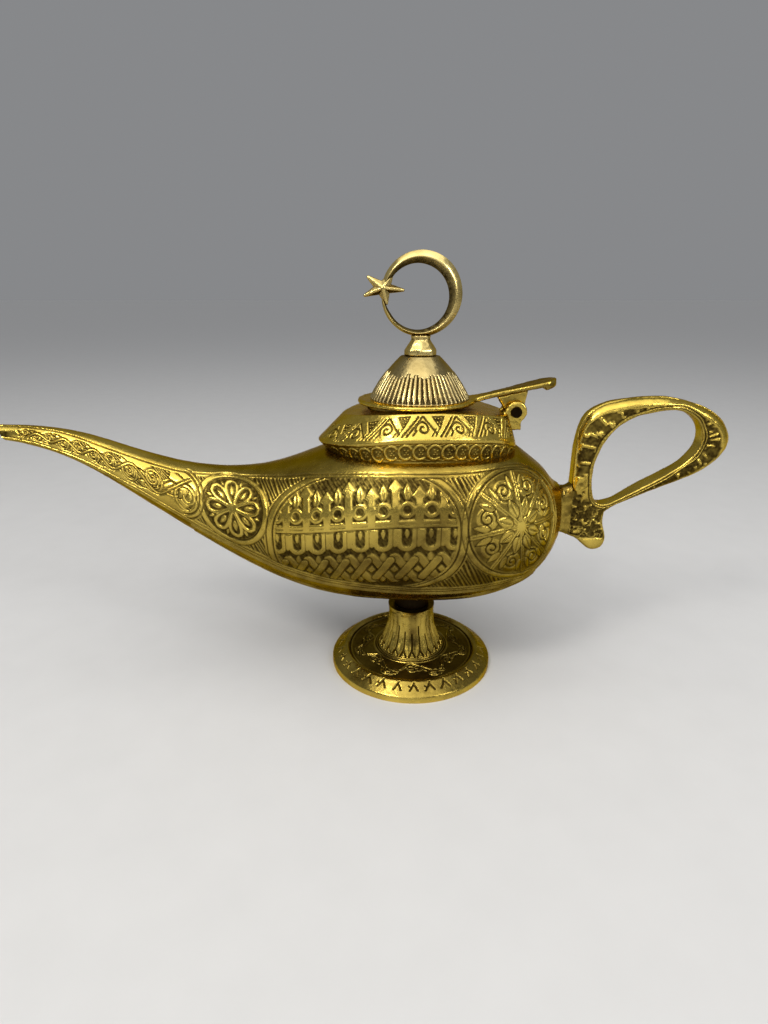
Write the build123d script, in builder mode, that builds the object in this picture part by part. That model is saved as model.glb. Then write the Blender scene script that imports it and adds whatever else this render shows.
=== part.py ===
from build123d import *
import os

# Genie oil lamp in cast brass, at its real size in millimetres.
# X runs from the spout (minus) to the handle (plus), Y away from the viewer, Z up.
# The origin is the centre of the foot's underside.

os.makedirs("parts", exist_ok=True)

# Fits that several pieces share
overrun = 1.0
moving_gap = 0.3
pin_clearance = 0.05
seat_clearance = 0.02

# Foot, a hollow casting with a fluted stem
foot_radius = 32.0
foot_rim_height = 2.8
foot_rim_round = 1.0
foot_band_radius = 25.2
foot_band_height = 4.9
stem_base_radius = 12.8
stem_base_height = 6.5
stem_hollow = 0.5
stem_waist_radius = 8.9
stem_waist_height = 17.5
stem_top_radius = 9.2
foot_height = 24.6
foot_wall = 2.2
foot_ceiling = 3.0
flute_count = 18
flute_width = 0.9
flute_depth = 0.5

# Foot fixing: a neck boss under the body, and a stud with washer and nut inside the stem
boss_radius = 6.6
boss_length = 7.2
boss_socket_depth = 5.6
stud_radius = 3.0
washer_radius = 6.2
washer_thickness = 1.2
foot_nut_across = 10.0
foot_nut_thickness = 5.0
stud_protrusion = 1.5

# Body, two cast halves brazed on the middle plane
spout_reach = 149.8
rear_reach = 53.9
belly_half_width = 37.0
body_depth = 57.4
body_wall = 2.2
spout_wall = 1.0
boss_spot_depth = 0.6

# Neck collar, standing on the body's flat seat, with a flared wall below its ridge and a roof above
collar_rise = 15.9
collar_front = 31.6
collar_rear = 36.6
collar_half_width = 25.2
flare_shares = (1.0, 0.1, 0.25)
roof_front = 38.2
roof_rear = 37.2
roof_half_width = 32.9
roof_shares = (-1.0, -0.3, -0.673)
crown_front = 25.6
crown_front_drop = 3.3
crown_rear = 33.4
crown_rear_drop = 3.5
collar_wall = 2.5
collar_deck = 2.2
mouth_radius = 17.5

# Lid, turning on the hinge pin behind the collar
lid_offset = 0.6
dome_offset = 1.7
lid_radius = 20.9
lid_plate_thickness = 1.6
lid_plate_round = 0.5
lip_clearance = 0.6
lip_wall = 1.6
lip_depth = 3.2
dome_radius = 17.6
dome_height = 14.4
dome_top_radius = 6.8
dome_shoulder_radius = 12.5
dome_shoulder_share = 0.62
dome_wall = 1.6
rib_count = 48
rib_width = 0.9
rib_depth = 0.5

# Hinge
pin_offset = 35.6
pin_drop = 2.6
pin_radius = 1.2
pin_head_radius = 1.9
pin_head_thickness = 0.5
ear_radius = 3.8
ear_thickness = 2.4
lug_half_width = 2.3
lug_radius = 3.2
ear_gap = 0.25
lug_clearance = 0.5
lug_top_front = 6.4
lug_top_rear_share = 0.44
bracket_floor = 2.6
bracket_front = 4.6
bracket_rear = 2.0

# Tongue, the thumb lever cast with the lid plate
tongue_reach = 49.8
tongue_rise = 7.1
tongue_root_inset = 2.2
tongue_thickness = 1.8
tongue_end_thickness = 3.0
tongue_end_length = 4.6
tongue_root_half_width = 5.6
tongue_waist_half_width = 3.9
tongue_waist_share = 0.65
tongue_end_half_width = 5.4

# Finial on the dome
ferrule_radius = 5.7
ferrule_neck_radius = 3.2
ferrule_top_radius = 3.7
ferrule_height = 6.9
ferrule_skirt_share = 0.3
ferrule_neck_share = 0.82
ferrule_sides = 8
ferrule_socket_depth = 3.6
crescent_radius = 13.7
crescent_hole_radius = 10.6
crescent_shift = 1.2
crescent_drop = 0.9
crescent_thickness = 5.0
crescent_bevel = 0.9
crescent_seat = 0.4
star_radius = 7.2
star_height_share = 0.72
star_core_share = 0.36
star_points = 5
star_edge = 1.2
star_thickness = 4.4
star_inset = 0.7
star_rise = 1.9
star_angle = -8.0
finial_stud_radius = 1.9
finial_stud_protrusion = 0.8
finial_nut_across = 7.0
finial_nut_thickness = 3.0

# Handle, a cast loop with a leaf below it, on a smooth saddle behind the body
saddle_thickness = 4.7
saddle_half_width = 5.4
saddle_low_share = 0.405
saddle_high_share = 0.760
handle_low_share = 0.303
handle_reach = 55.4
handle_depth = 58.3
handle_half_width = 4.2
handle_bevel = 1.1

# Heights that follow from the pieces below
keel_height = foot_height + boss_length - boss_spot_depth
seat_height = keel_height + body_depth
deck_height = seat_height + collar_rise
plate_height = deck_height + moving_gap
plate_top = plate_height + lid_plate_thickness
dome_top = plate_top + dome_height
pin_height = deck_height - pin_drop
saddle_face = rear_reach + saddle_thickness


def body_height(share):
    return keel_height + share * body_depth


def export(piece, name):
    piece.part.label = name
    export_step(piece.part, f"parts/{name}.step")


# Body sections from the spout's tip to the flat pad behind the belly. Each row has shares of the
# reach before or behind the foot's axis, of the body's depth for the crown, widest line and keel,
# of the belly's half width, of a quarter curve's fullness above and below the widest line,
# and of the way from the spout's wall to the body's.
spout_shares = [
    (-1.000, 1.141, 1.089, 1.037, 0.081, 0.55, 0.55, 0.00),
    (-0.933, 1.136, 1.073, 1.010, 0.098, 0.55, 0.55, 0.10),
    (-0.862, 1.117, 1.034, 0.951, 0.128, 0.55, 0.55, 0.20),
    (-0.794, 1.080, 0.973, 0.866, 0.165, 0.55, 0.55, 0.35),
    (-0.725, 1.021, 0.887, 0.754, 0.203, 0.55, 0.55, 0.50),
    (-0.656, 0.960, 0.797, 0.632, 0.251, 0.55, 0.55, 0.65),
    (-0.585, 0.908, 0.706, 0.506, 0.306, 0.55, 0.55, 0.80),
    (-0.512, 0.876, 0.634, 0.385, 0.374, 0.55, 0.55, 0.90),
    (-0.439, 0.866, 0.588, 0.270, 0.462, 0.56, 0.55, 1.00),
    (-0.364, 0.883, 0.572, 0.166, 0.574, 0.58, 0.56, 1.00),
    (-0.287, 0.936, 0.586, 0.088, 0.694, 0.60, 0.57, 1.00),
    (-0.211, 1.004, 0.622, 0.035, 0.806, 0.64, 0.58, 1.00),
    (-0.107, 1.066, 0.672, 0.006, 0.932, 0.70, 0.59, 1.00),
    (0.000, 1.078, 0.700, 0.000, 0.997, 0.72, 0.60, 1.00),
]
rear_shares = [
    (0.278, 1.077, 0.700, 0.004, 0.984, 0.72, 0.60, 1.00),
    (0.501, 1.064, 0.680, 0.028, 0.892, 0.70, 0.60, 1.00),
    (0.668, 1.020, 0.646, 0.068, 0.757, 0.67, 0.59, 1.00),
    (0.811, 0.925, 0.602, 0.128, 0.585, 0.64, 0.58, 1.00),
    (0.900, 0.850, 0.572, 0.198, 0.440, 0.61, 0.57, 1.00),
    (0.960, 0.785, 0.556, 0.274, 0.322, 0.58, 0.56, 1.00),
    (1.000, 0.760, 0.556, 0.353, 0.238, 0.56, 0.55, 1.00),
]


def draw_half_section(x, crown, widest, keel, half_width, high_share, low_share, across):
    """Draw half a body section on the plane square to X, reaching across the middle plane if asked."""
    with BuildSketch(Plane.YZ.offset(x)) as section:
        with BuildLine():
            Bezier((0, crown), (high_share * half_width, crown),
                   (half_width, widest + high_share * (crown - widest)), (half_width, widest))
            Bezier((half_width, widest), (half_width, widest - low_share * (widest - keel)),
                   (low_share * half_width, keel), (0, keel))
            if across > 0:
                Polyline((0, keel), (-across, keel), (-across, crown), (0, crown))
            else:
                Line((0, keel), (0, crown))
        make_face()
    return section.sketch


def body_sections(inset):
    """Half sections of the body from the spout to the rear pad, drawn in by the wall where inset is true."""
    sections = []
    rows = [(share[0] * spout_reach, share) for share in spout_shares]
    rows += [(share[0] * rear_reach, share) for share in rear_shares]
    for x, row in rows:
        crown = body_height(row[1])
        widest = body_height(row[2])
        keel = body_height(row[3])
        half_width = row[4] * belly_half_width
        wall = 0
        if inset:
            wall = spout_wall + row[7] * (body_wall - spout_wall)
            if row is spout_shares[0]:
                x = x - overrun
            if row is rear_shares[-1]:
                x = x - wall
        sections.append(draw_half_section(x, crown - wall, widest, keel + wall, half_width - wall,
                                          row[5], row[6], overrun if inset else 0))
    return sections


# Plan outline of the collar: a boat with a pointed front and a round rear.
front_tip_share = 0.42
front_side_share = 0.62
rear_tip_share = 0.52
rear_side_share = 0.58


def draw_half_boat(height, front, rear, half_width, across):
    """Draw the boat's half beyond the middle plane, level at a height, reaching across the plane if asked."""
    with BuildSketch(Plane.XY.offset(height)) as outline:
        with BuildLine():
            Bezier((-front, 0), (-front, front_tip_share * half_width), (-front * front_side_share, half_width),
                   (0, half_width))
            Bezier((0, half_width), (rear * rear_side_share, half_width), (rear, rear_tip_share * half_width),
                   (rear, 0))
            if across > 0:
                Polyline((rear, 0), (rear, -across), (-front, -across), (-front, 0))
            else:
                Line((rear, 0), (-front, 0))
        make_face()
    return outline.sketch


# Body: two cast halves, each a hollow loft with a flat seat for the collar and a spot for the boss.
with BuildPart() as body_right_shell:
    loft(body_sections(inset=False), clean=False)
    loft(body_sections(inset=True), clean=False, mode=Mode.SUBTRACT)
    with BuildSketch(Plane.XY.offset(seat_height)):
        Rectangle(2 * rear_reach, 2 * belly_half_width)
    extrude(amount=body_depth, clean=False, mode=Mode.SUBTRACT)
    mouth = draw_half_boat(seat_height, collar_front - collar_wall, collar_rear - collar_wall,
                           collar_half_width - collar_wall, overrun)
    extrude(mouth, amount=-2 * body_wall, clean=False, mode=Mode.SUBTRACT)
    with Locations((0, 0, keel_height + boss_spot_depth)):
        Cylinder(boss_radius + moving_gap, 2 * body_wall, rotation=(0, 0, 90),
                 align=(Align.CENTER, Align.CENTER, Align.MAX), mode=Mode.SUBTRACT)
export(body_right_shell, "body_right_shell")

with BuildPart() as body_left_shell:
    mirror(body_right_shell.part, about=Plane.XZ)
export(body_left_shell, "body_left_shell")


# Foot: a profile turned about the axis, hollow below, with petals parted by grooves on its stem.
stem_middle_radius = (stem_base_radius + stem_waist_radius) / 2 - stem_hollow
stem_middle_height = (stem_base_height + stem_waist_height) / 2
stem_outside = [
    (stem_base_radius, stem_base_height),
    (stem_middle_radius, stem_middle_height),
    (stem_waist_radius, stem_waist_height),
    (stem_top_radius, foot_height),
]
stem_inside = [(radius - foot_wall, height - foot_wall) for radius, height in stem_outside[:3]]
foot_bore_radius = stud_radius + moving_gap
foot_ceiling_height = foot_height - foot_ceiling

with BuildPart() as foot:
    with BuildSketch(Plane.XZ) as foot_profile:
        with BuildLine():
            Polyline((foot_radius, 0), (foot_radius, foot_rim_height), (foot_band_radius, foot_band_height),
                     stem_outside[0])
            Spline(*stem_outside)
            Polyline(stem_outside[-1], (foot_bore_radius, foot_height), (foot_bore_radius, foot_ceiling_height),
                     (stem_inside[-1][0], foot_ceiling_height), stem_inside[-1])
            Spline(*stem_inside[::-1])
            Polyline(stem_inside[0], (foot_band_radius, foot_band_height - foot_wall),
                     (foot_radius - foot_wall, 0), (foot_radius, 0))
        make_face()
        fillet(foot_profile.vertices().group_by(Axis.X)[-1].sort_by(Axis.Y)[-1], foot_rim_round)
    revolve(axis=Axis.Z)
    with BuildSketch(Plane.XZ) as flute_side:
        with BuildLine():
            root = Spline(*[(radius - flute_depth, height) for radius, height in stem_outside[:3]])
            Polyline(root @ 1, (stem_base_radius, stem_waist_height), stem_outside[0], root @ 0)
        make_face()
    flute = extrude(flute_side.sketch, amount=flute_width / 2, both=True, mode=Mode.PRIVATE)
    with PolarLocations(0, flute_count):
        add(flute, mode=Mode.SUBTRACT)
export(foot, "foot")

# Foot fixing
with BuildPart() as foot_boss:
    with Locations((0, 0, foot_height)):
        Cylinder(boss_radius, boss_length, align=(Align.CENTER, Align.CENTER, Align.MIN))
        Cylinder(stud_radius + seat_clearance, boss_socket_depth,
                 align=(Align.CENTER, Align.CENTER, Align.MIN), mode=Mode.SUBTRACT)
export(foot_boss, "foot_boss")

with BuildPart() as foot_washer:
    with Locations((0, 0, foot_ceiling_height)):
        Cylinder(washer_radius, washer_thickness, align=(Align.CENTER, Align.CENTER, Align.MAX))
    with Locations((0, 0, foot_ceiling_height)):
        Cylinder(foot_bore_radius, washer_thickness,
                 align=(Align.CENTER, Align.CENTER, Align.MAX), mode=Mode.SUBTRACT)
export(foot_washer, "foot_washer")

foot_nut_height = foot_ceiling_height - washer_thickness
with BuildPart() as foot_nut:
    with BuildSketch(Plane.XY.offset(foot_nut_height)):
        RegularPolygon(foot_nut_across / 2, 6, major_radius=False)
        Circle(stud_radius + seat_clearance, mode=Mode.SUBTRACT)
    extrude(amount=-foot_nut_thickness)
export(foot_nut, "foot_nut")

foot_stud_base = foot_nut_height - foot_nut_thickness - stud_protrusion
with BuildPart() as foot_stud:
    with BuildSketch(Plane.XY.offset(foot_stud_base)):
        Circle(stud_radius)
    extrude(amount=foot_height + boss_socket_depth - moving_gap - foot_stud_base)
export(foot_stud, "foot_stud")

# Collar: the flared wall meets the roof at the ridge, and an arch crowns the roof along the lamp.
# It is hollow, with a round mouth in its deck.
wall_reach = (collar_front, collar_rear, collar_half_width)
roof_reach = (roof_front, roof_rear, roof_half_width)
loft_rise = collar_rise + overrun


def draw_collar(inset, drop):
    """The collar's outside, or its hollow where the wall is the inset and the deck the drop."""
    front_height = deck_height - crown_front_drop - drop
    rear_height = deck_height - crown_rear_drop - drop
    with BuildPart() as solid:
        for reach, shares, mode in ((wall_reach, flare_shares, Mode.ADD), (roof_reach, roof_shares, Mode.INTERSECT)):
            low = [size - inset for size in reach]
            high = [size + share * loft_rise for size, share in zip(low, shares)]
            loft([draw_half_boat(seat_height, *low, 0), draw_half_boat(seat_height + loft_rise, *high, 0)],
                 ruled=True, clean=False, mode=mode)
        with BuildSketch(Plane.XZ):
            with BuildLine():
                arch = ThreePointArc((-crown_front, front_height), (lid_offset, deck_height - drop),
                                     (crown_rear, rear_height))
                Polyline(arch @ 1, (roof_front, rear_height), (roof_front, seat_height),
                         (-roof_front, seat_height), (-roof_front, front_height), arch @ 0)
            make_face()
        extrude(amount=roof_half_width, both=True, clean=False, mode=Mode.INTERSECT)
        mirror(about=Plane.XZ)
    return solid.part


bracket_base = pin_height - lug_radius - lug_clearance - bracket_floor
ear_outer = lug_half_width + ear_gap + ear_thickness
collar_outside = draw_collar(0, 0)
collar_hollow = draw_collar(collar_wall, collar_deck)

with BuildPart() as neck_collar:
    add(collar_outside)
    add(collar_hollow, mode=Mode.SUBTRACT)
    with Locations((lid_offset, 0, deck_height)):
        Cylinder(mouth_radius, 2 * collar_rise, mode=Mode.SUBTRACT)
    with Locations((pin_offset - bracket_front, 0, bracket_base)):
        Box(roof_rear, 2 * ear_outer, collar_rise, align=(Align.MIN, Align.CENTER, Align.MIN), mode=Mode.SUBTRACT)
export(neck_collar, "neck_collar")

# Hinge bracket: a block with two ears, let into the notch at the back of the collar.
with BuildPart() as hinge_bracket:
    with BuildSketch(Plane.XZ):
        with Locations((pin_offset - bracket_front, bracket_base)):
            Rectangle(bracket_front + bracket_rear, pin_height - bracket_base, align=(Align.MIN, Align.MIN))
        with Locations((pin_offset, pin_height)):
            Circle(ear_radius)
            Circle(pin_radius + seat_clearance, mode=Mode.SUBTRACT)
    extrude(amount=ear_outer, both=True)
    with Locations((pin_offset - bracket_front, 0, bracket_base + bracket_floor)):
        Box(roof_rear, 2 * (lug_half_width + ear_gap), collar_rise, align=(Align.MIN, Align.CENTER, Align.MIN),
            mode=Mode.SUBTRACT)
export(hinge_bracket, "hinge_bracket")

with BuildPart() as hinge_pin:
    with BuildSketch(Plane.XZ):
        with Locations((pin_offset, pin_height)):
            Circle(pin_radius)
    extrude(amount=ear_outer, both=True)
    for side in (1, -1):
        with BuildSketch(Plane.XZ.offset(side * ear_outer)):
            with Locations((pin_offset, pin_height)):
                Circle(pin_head_radius)
        extrude(amount=side * pin_head_thickness)
export(hinge_pin, "hinge_pin")

# Lid: plate and thumb lever in one casting, with a lip, a ribbed dome and a hinge lug below the lever.
dome_axis = Axis((dome_offset, 0, 0), (0, 0, 1))
lip_radius = mouth_radius - lip_clearance
tongue_root = lid_offset + lid_radius - tongue_root_inset
tongue_pad = tongue_reach - tongue_end_length
tongue_side_end = tongue_reach - tongue_end_half_width
tongue_waist = tongue_root + tongue_waist_share * (tongue_side_end - tongue_root)


def tongue_height(x):
    """Height of the lever's upper face along its rising line."""
    return plate_top + tongue_rise * (x - tongue_root) / (tongue_reach - tongue_root)


with BuildPart() as tongue:
    with BuildSketch(Plane.XZ):
        with BuildLine():
            Polyline(
                (tongue_root, plate_top),
                (tongue_reach, tongue_height(tongue_reach)),
                (tongue_reach, tongue_height(tongue_reach) - tongue_end_thickness),
                (tongue_pad, tongue_height(tongue_pad) - tongue_end_thickness),
                (tongue_pad, tongue_height(tongue_pad) - tongue_thickness),
                (lid_offset + lid_radius + tongue_thickness, tongue_height(lid_offset + lid_radius
                                                                           + tongue_thickness) - tongue_thickness),
                (tongue_root, plate_height),
                close=True,
            )
        make_face()
    extrude(amount=tongue_end_half_width, both=True)
    with BuildSketch(Plane.XY.offset(plate_height)):
        with BuildLine():
            near = Spline((tongue_root, tongue_root_half_width), (tongue_waist, tongue_waist_half_width),
                          (tongue_side_end, tongue_end_half_width), tangents=[(1, -1), (1, 0)])
            tip = ThreePointArc(near @ 1, (tongue_reach, 0), (tongue_side_end, -tongue_end_half_width))
            far = Spline(tip @ 1, (tongue_waist, -tongue_waist_half_width), (tongue_root, -tongue_root_half_width),
                         tangents=[(-1, 0), (-1, -1)])
            Line(far @ 1, near @ 0)
        make_face()
    extrude(amount=2 * tongue_rise, mode=Mode.INTERSECT)

with BuildPart() as lid_plate:
    with Locations((lid_offset, 0, plate_height)):
        Cylinder(lid_radius, lid_plate_thickness, align=(Align.CENTER, Align.CENTER, Align.MIN))
    fillet(lid_plate.edges().filter_by(GeomType.CIRCLE), lid_plate_round)
    add(tongue.part)
    with Locations((lid_offset, 0, plate_height)):
        Cylinder(lip_radius - lip_wall, 2 * lid_plate_thickness, mode=Mode.SUBTRACT)
export(lid_plate, "lid_plate")

with BuildPart() as lid_lip:
    with BuildSketch(Plane.XY.offset(plate_height)):
        with Locations((lid_offset, 0)):
            Circle(lip_radius)
            Circle(lip_radius - lip_wall, mode=Mode.SUBTRACT)
    extrude(amount=-lip_depth)
export(lid_lip, "lid_lip")

lug_reach = lug_radius - pin_clearance
lug_top_rear = lug_top_rear_share * (tongue_pad - pin_offset)
with BuildPart() as lid_hinge_lug:
    with BuildSketch(Plane.XZ):
        with BuildLine():
            Polyline(
                (pin_offset - lug_reach, pin_height),
                (pin_offset - lug_top_front, tongue_height(pin_offset - lug_top_front) - tongue_thickness),
                (pin_offset + lug_top_rear, tongue_height(pin_offset + lug_top_rear) - tongue_thickness),
                (pin_offset + lug_reach, pin_height),
                close=True,
            )
        make_face()
        with Locations((pin_offset, pin_height)):
            Circle(lug_radius)
            Circle(pin_radius + pin_clearance, mode=Mode.SUBTRACT)
    extrude(amount=lug_half_width, both=True)
export(lid_hinge_lug, "lid_hinge_lug")

dome_shoulder_height = plate_top + dome_shoulder_share * dome_height


def draw_dome(inset):
    """Half profile of the dome's outside, or of its inside where inset is the wall."""
    with BuildSketch(Plane.XZ) as profile:
        with BuildLine():
            base = (dome_offset + dome_radius - inset, plate_top)
            shoulder = (dome_offset + dome_shoulder_radius - inset, dome_shoulder_height - inset)
            crown = (dome_offset + dome_top_radius - inset, dome_top - inset)
            ThreePointArc(base, shoulder, crown)
            Polyline(crown, (dome_offset, dome_top - inset), (dome_offset, plate_top), base)
        make_face()
    return profile.sketch


with BuildPart() as lid_dome:
    revolve(draw_dome(0), axis=dome_axis)
    revolve(draw_dome(dome_wall), axis=dome_axis, mode=Mode.SUBTRACT)
    with Locations((dome_offset, 0, dome_top)):
        Cylinder(finial_stud_radius + pin_clearance, 2 * dome_wall + overrun, mode=Mode.SUBTRACT)
    with BuildSketch(Plane.XZ) as rib_side:
        with BuildLine():
            Polyline((dome_radius - rib_depth, plate_top), (dome_radius, plate_top),
                     (dome_radius, dome_shoulder_height), (dome_shoulder_radius, dome_shoulder_height),
                     close=True)
        make_face()
    rib_gap = extrude(rib_side.sketch, amount=rib_width / 2, both=True, mode=Mode.PRIVATE)
    with Locations((dome_offset, 0, 0)):
        with PolarLocations(0, rib_count):
            add(rib_gap, mode=Mode.SUBTRACT)
export(lid_dome, "lid_dome")

# Finial: a faceted ferrule, a crescent closed by a star, and the stud and nut that hold it.
ferrule_top = dome_top + ferrule_height
with BuildPart() as finial_ferrule:
    facets = []
    for rise, radius in ((0, ferrule_radius), (ferrule_skirt_share, ferrule_radius),
                         (ferrule_neck_share, ferrule_neck_radius), (1, ferrule_top_radius)):
        with BuildSketch(Plane.XY.offset(dome_top + rise * ferrule_height)) as facet:
            with Locations((dome_offset, 0)):
                RegularPolygon(radius, ferrule_sides)
        facets.append(facet.sketch)
    loft(facets, ruled=True)
    with Locations((dome_offset, 0, dome_top)):
        Cylinder(finial_stud_radius + seat_clearance, ferrule_socket_depth,
                 align=(Align.CENTER, Align.CENTER, Align.MIN), mode=Mode.SUBTRACT)
export(finial_ferrule, "finial_ferrule")

finial_nut_height = dome_top - dome_wall
with BuildPart() as finial_nut:
    with BuildSketch(Plane.XY.offset(finial_nut_height)):
        with Locations((dome_offset, 0)):
            RegularPolygon(finial_nut_across / 2, 6, major_radius=False)
            Circle(finial_stud_radius + seat_clearance, mode=Mode.SUBTRACT)
    extrude(amount=-finial_nut_thickness)
export(finial_nut, "finial_nut")

finial_stud_foot = finial_nut_height - finial_nut_thickness - finial_stud_protrusion
with BuildPart() as finial_stud:
    with BuildSketch(Plane.XY.offset(finial_stud_foot)):
        with Locations((dome_offset, 0)):
            Circle(finial_stud_radius)
    extrude(amount=dome_top + ferrule_socket_depth - moving_gap - finial_stud_foot)
export(finial_stud, "finial_stud")

crescent_height = ferrule_top - crescent_seat + crescent_radius
star_x = dome_offset - crescent_radius + star_inset
star_height = crescent_height + star_rise


def draw_star(offset):
    """The star's outline on an upright plane, a little flattened, with one point towards the crescent."""
    corners = []
    for index in range(2 * star_points):
        radius = star_radius if index % 2 == 0 else star_core_share * star_radius
        arm = Vector(radius, 0).rotate(Axis.Z, star_angle + 180 * index / star_points)
        corners.append((star_x + arm.X, star_height + star_height_share * arm.Y))
    with BuildSketch(Plane.XZ.offset(offset)) as outline:
        with BuildLine():
            Polyline(*corners, close=True)
        make_face()
    return outline.sketch


with BuildPart() as finial_star:
    extrude(draw_star(-star_edge / 2), amount=star_edge)
    for side in (1, -1):
        loft([draw_star(side * star_edge / 2), Vertex(star_x, -side * star_thickness / 2, star_height)], ruled=True)
export(finial_star, "finial_star")

with BuildPart() as finial_crescent:
    with BuildSketch(Plane.XZ):
        with Locations((dome_offset, crescent_height)):
            Circle(crescent_radius)
        with Locations((dome_offset - crescent_shift, crescent_height - crescent_drop)):
            Circle(crescent_hole_radius, mode=Mode.SUBTRACT)
    extrude(amount=crescent_thickness / 2, both=True)
    rims = finial_crescent.edges().filter_by(GeomType.CIRCLE).group_by(SortBy.RADIUS)[-1]
    chamfer(rims, crescent_bevel)
    extrude(draw_star(-crescent_thickness), amount=2 * crescent_thickness, mode=Mode.SUBTRACT)
    with BuildSketch(Plane.XY.offset(ferrule_top)):
        with Locations((dome_offset, 0)):
            Rectangle(2 * crescent_radius, crescent_radius)
    extrude(amount=-crescent_radius, mode=Mode.SUBTRACT)
export(finial_crescent, "finial_crescent")

# Handle and its saddle
with BuildPart() as handle_saddle:
    with BuildSketch(Plane.XY.offset(body_height(saddle_low_share))) as saddle_plan:
        with Locations((rear_reach, 0)):
            Rectangle(saddle_thickness, 2 * saddle_half_width, align=(Align.MIN, Align.CENTER))
    extrude(amount=(saddle_high_share - saddle_low_share) * body_depth)
export(handle_saddle, "handle_saddle")

# Shares of the handle's reach behind the saddle and of its depth above the leaf's tip
loop_shares = [
    (0.000, 0.487), (0.000, 0.640), (0.012, 0.789), (0.060, 0.900), (0.150, 0.955), (0.327, 0.990),
    (0.520, 1.000), (0.700, 0.972), (0.860, 0.912), (0.968, 0.815), (1.000, 0.715), (0.975, 0.643),
    (0.892, 0.557), (0.706, 0.465), (0.516, 0.388), (0.340, 0.315), (0.247, 0.255),
]
leaf_shares = [
    (0.247, 0.255), (0.240, 0.178), (0.268, 0.096), (0.250, 0.028), (0.186, 0.000), (0.120, 0.034),
    (0.070, 0.075), (0.000, 0.099),
]
eye_shares = [
    (0.148, 0.380), (0.134, 0.560), (0.182, 0.714), (0.310, 0.850), (0.500, 0.908), (0.650, 0.915),
    (0.755, 0.862), (0.812, 0.757), (0.778, 0.648), (0.597, 0.511), (0.412, 0.408), (0.250, 0.324),
    (0.185, 0.325),
]
handle_low = body_height(handle_low_share)


def handle_points(shares):
    return [(saddle_face + across * handle_reach, handle_low + up * handle_depth) for across, up in shares]


with BuildPart() as handle:
    with BuildSketch(Plane.XZ):
        with BuildLine():
            loop = Spline(*handle_points(loop_shares), tangents=[(0, 1), (-1, -1)])
            leaf = Spline(*handle_points(leaf_shares))
            Line(leaf @ 1, loop @ 0)
        make_face()
        with BuildLine():
            Spline(*handle_points(eye_shares), periodic=True)
        make_face(mode=Mode.SUBTRACT)
    extrude(amount=handle_half_width, both=True)
    faces = handle.faces().filter_by(Axis.Y)
    chamfer(faces.edges().filter_by(GeomType.BSPLINE), handle_bevel)
export(handle, "handle")
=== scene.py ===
import bpy
import math
import numpy as np
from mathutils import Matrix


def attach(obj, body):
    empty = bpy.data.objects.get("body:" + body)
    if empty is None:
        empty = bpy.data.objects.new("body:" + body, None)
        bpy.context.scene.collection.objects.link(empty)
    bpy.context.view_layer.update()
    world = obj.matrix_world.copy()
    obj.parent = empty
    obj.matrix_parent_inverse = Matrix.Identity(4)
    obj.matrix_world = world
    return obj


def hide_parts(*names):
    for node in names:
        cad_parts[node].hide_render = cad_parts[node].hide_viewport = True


# Genie oil lamp in cast brass. Shapes are worked out in millimetres, in the frame's axes, and scaled
# as each mesh is made. Ornament is carved as height maps, which move fine grids along their normals.
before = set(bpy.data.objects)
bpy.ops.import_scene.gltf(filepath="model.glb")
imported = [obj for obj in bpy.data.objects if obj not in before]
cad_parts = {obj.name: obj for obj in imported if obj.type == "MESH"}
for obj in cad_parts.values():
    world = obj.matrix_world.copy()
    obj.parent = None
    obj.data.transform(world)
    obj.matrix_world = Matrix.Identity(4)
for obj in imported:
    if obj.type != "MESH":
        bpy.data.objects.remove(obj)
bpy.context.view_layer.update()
MM = 0.001

# Sizes that the solids share
KEEL, DEPTH, HALF = 31.2, 57.4, 37.0
SPOUT, REAR = 149.8, 53.9
SEAT, DECK = 88.6, 104.5
SPOUT_WALL, BODY_WALL = 1.0, 2.2
COLLAR_FRONT, COLLAR_REAR, COLLAR_HALF = 31.6, 36.6, 25.2
COLLAR_WALL, DECK_WALL = 2.5, 2.2
LID_AXIS, MOUTH_AXIS, MOUTH_RADIUS = 1.7, 0.6, 17.5
DOME_BASE, DOME_HEIGHT = 106.4, 14.4
DOME_TOP = DOME_BASE + DOME_HEIGHT
HANDLE_FRONT = 58.6

# Fineness of the grids, in points
BODY_ROWS, BODY_COLUMNS = 700, 300
HOLLOW_ROWS, HOLLOW_COLUMNS = 110, 46
COLLAR_ROWS, COLLAR_COLUMNS = 800, 220
FOOT_ROWS, DOME_ROWS = 900, 600

# Depth of the carving
BODY_RELIEF, COLLAR_RELIEF, FOOT_RELIEF, DOME_RELIEF, HANDLE_RELIEF = 0.6, 0.42, 0.55, 0.5, 0.85

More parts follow.
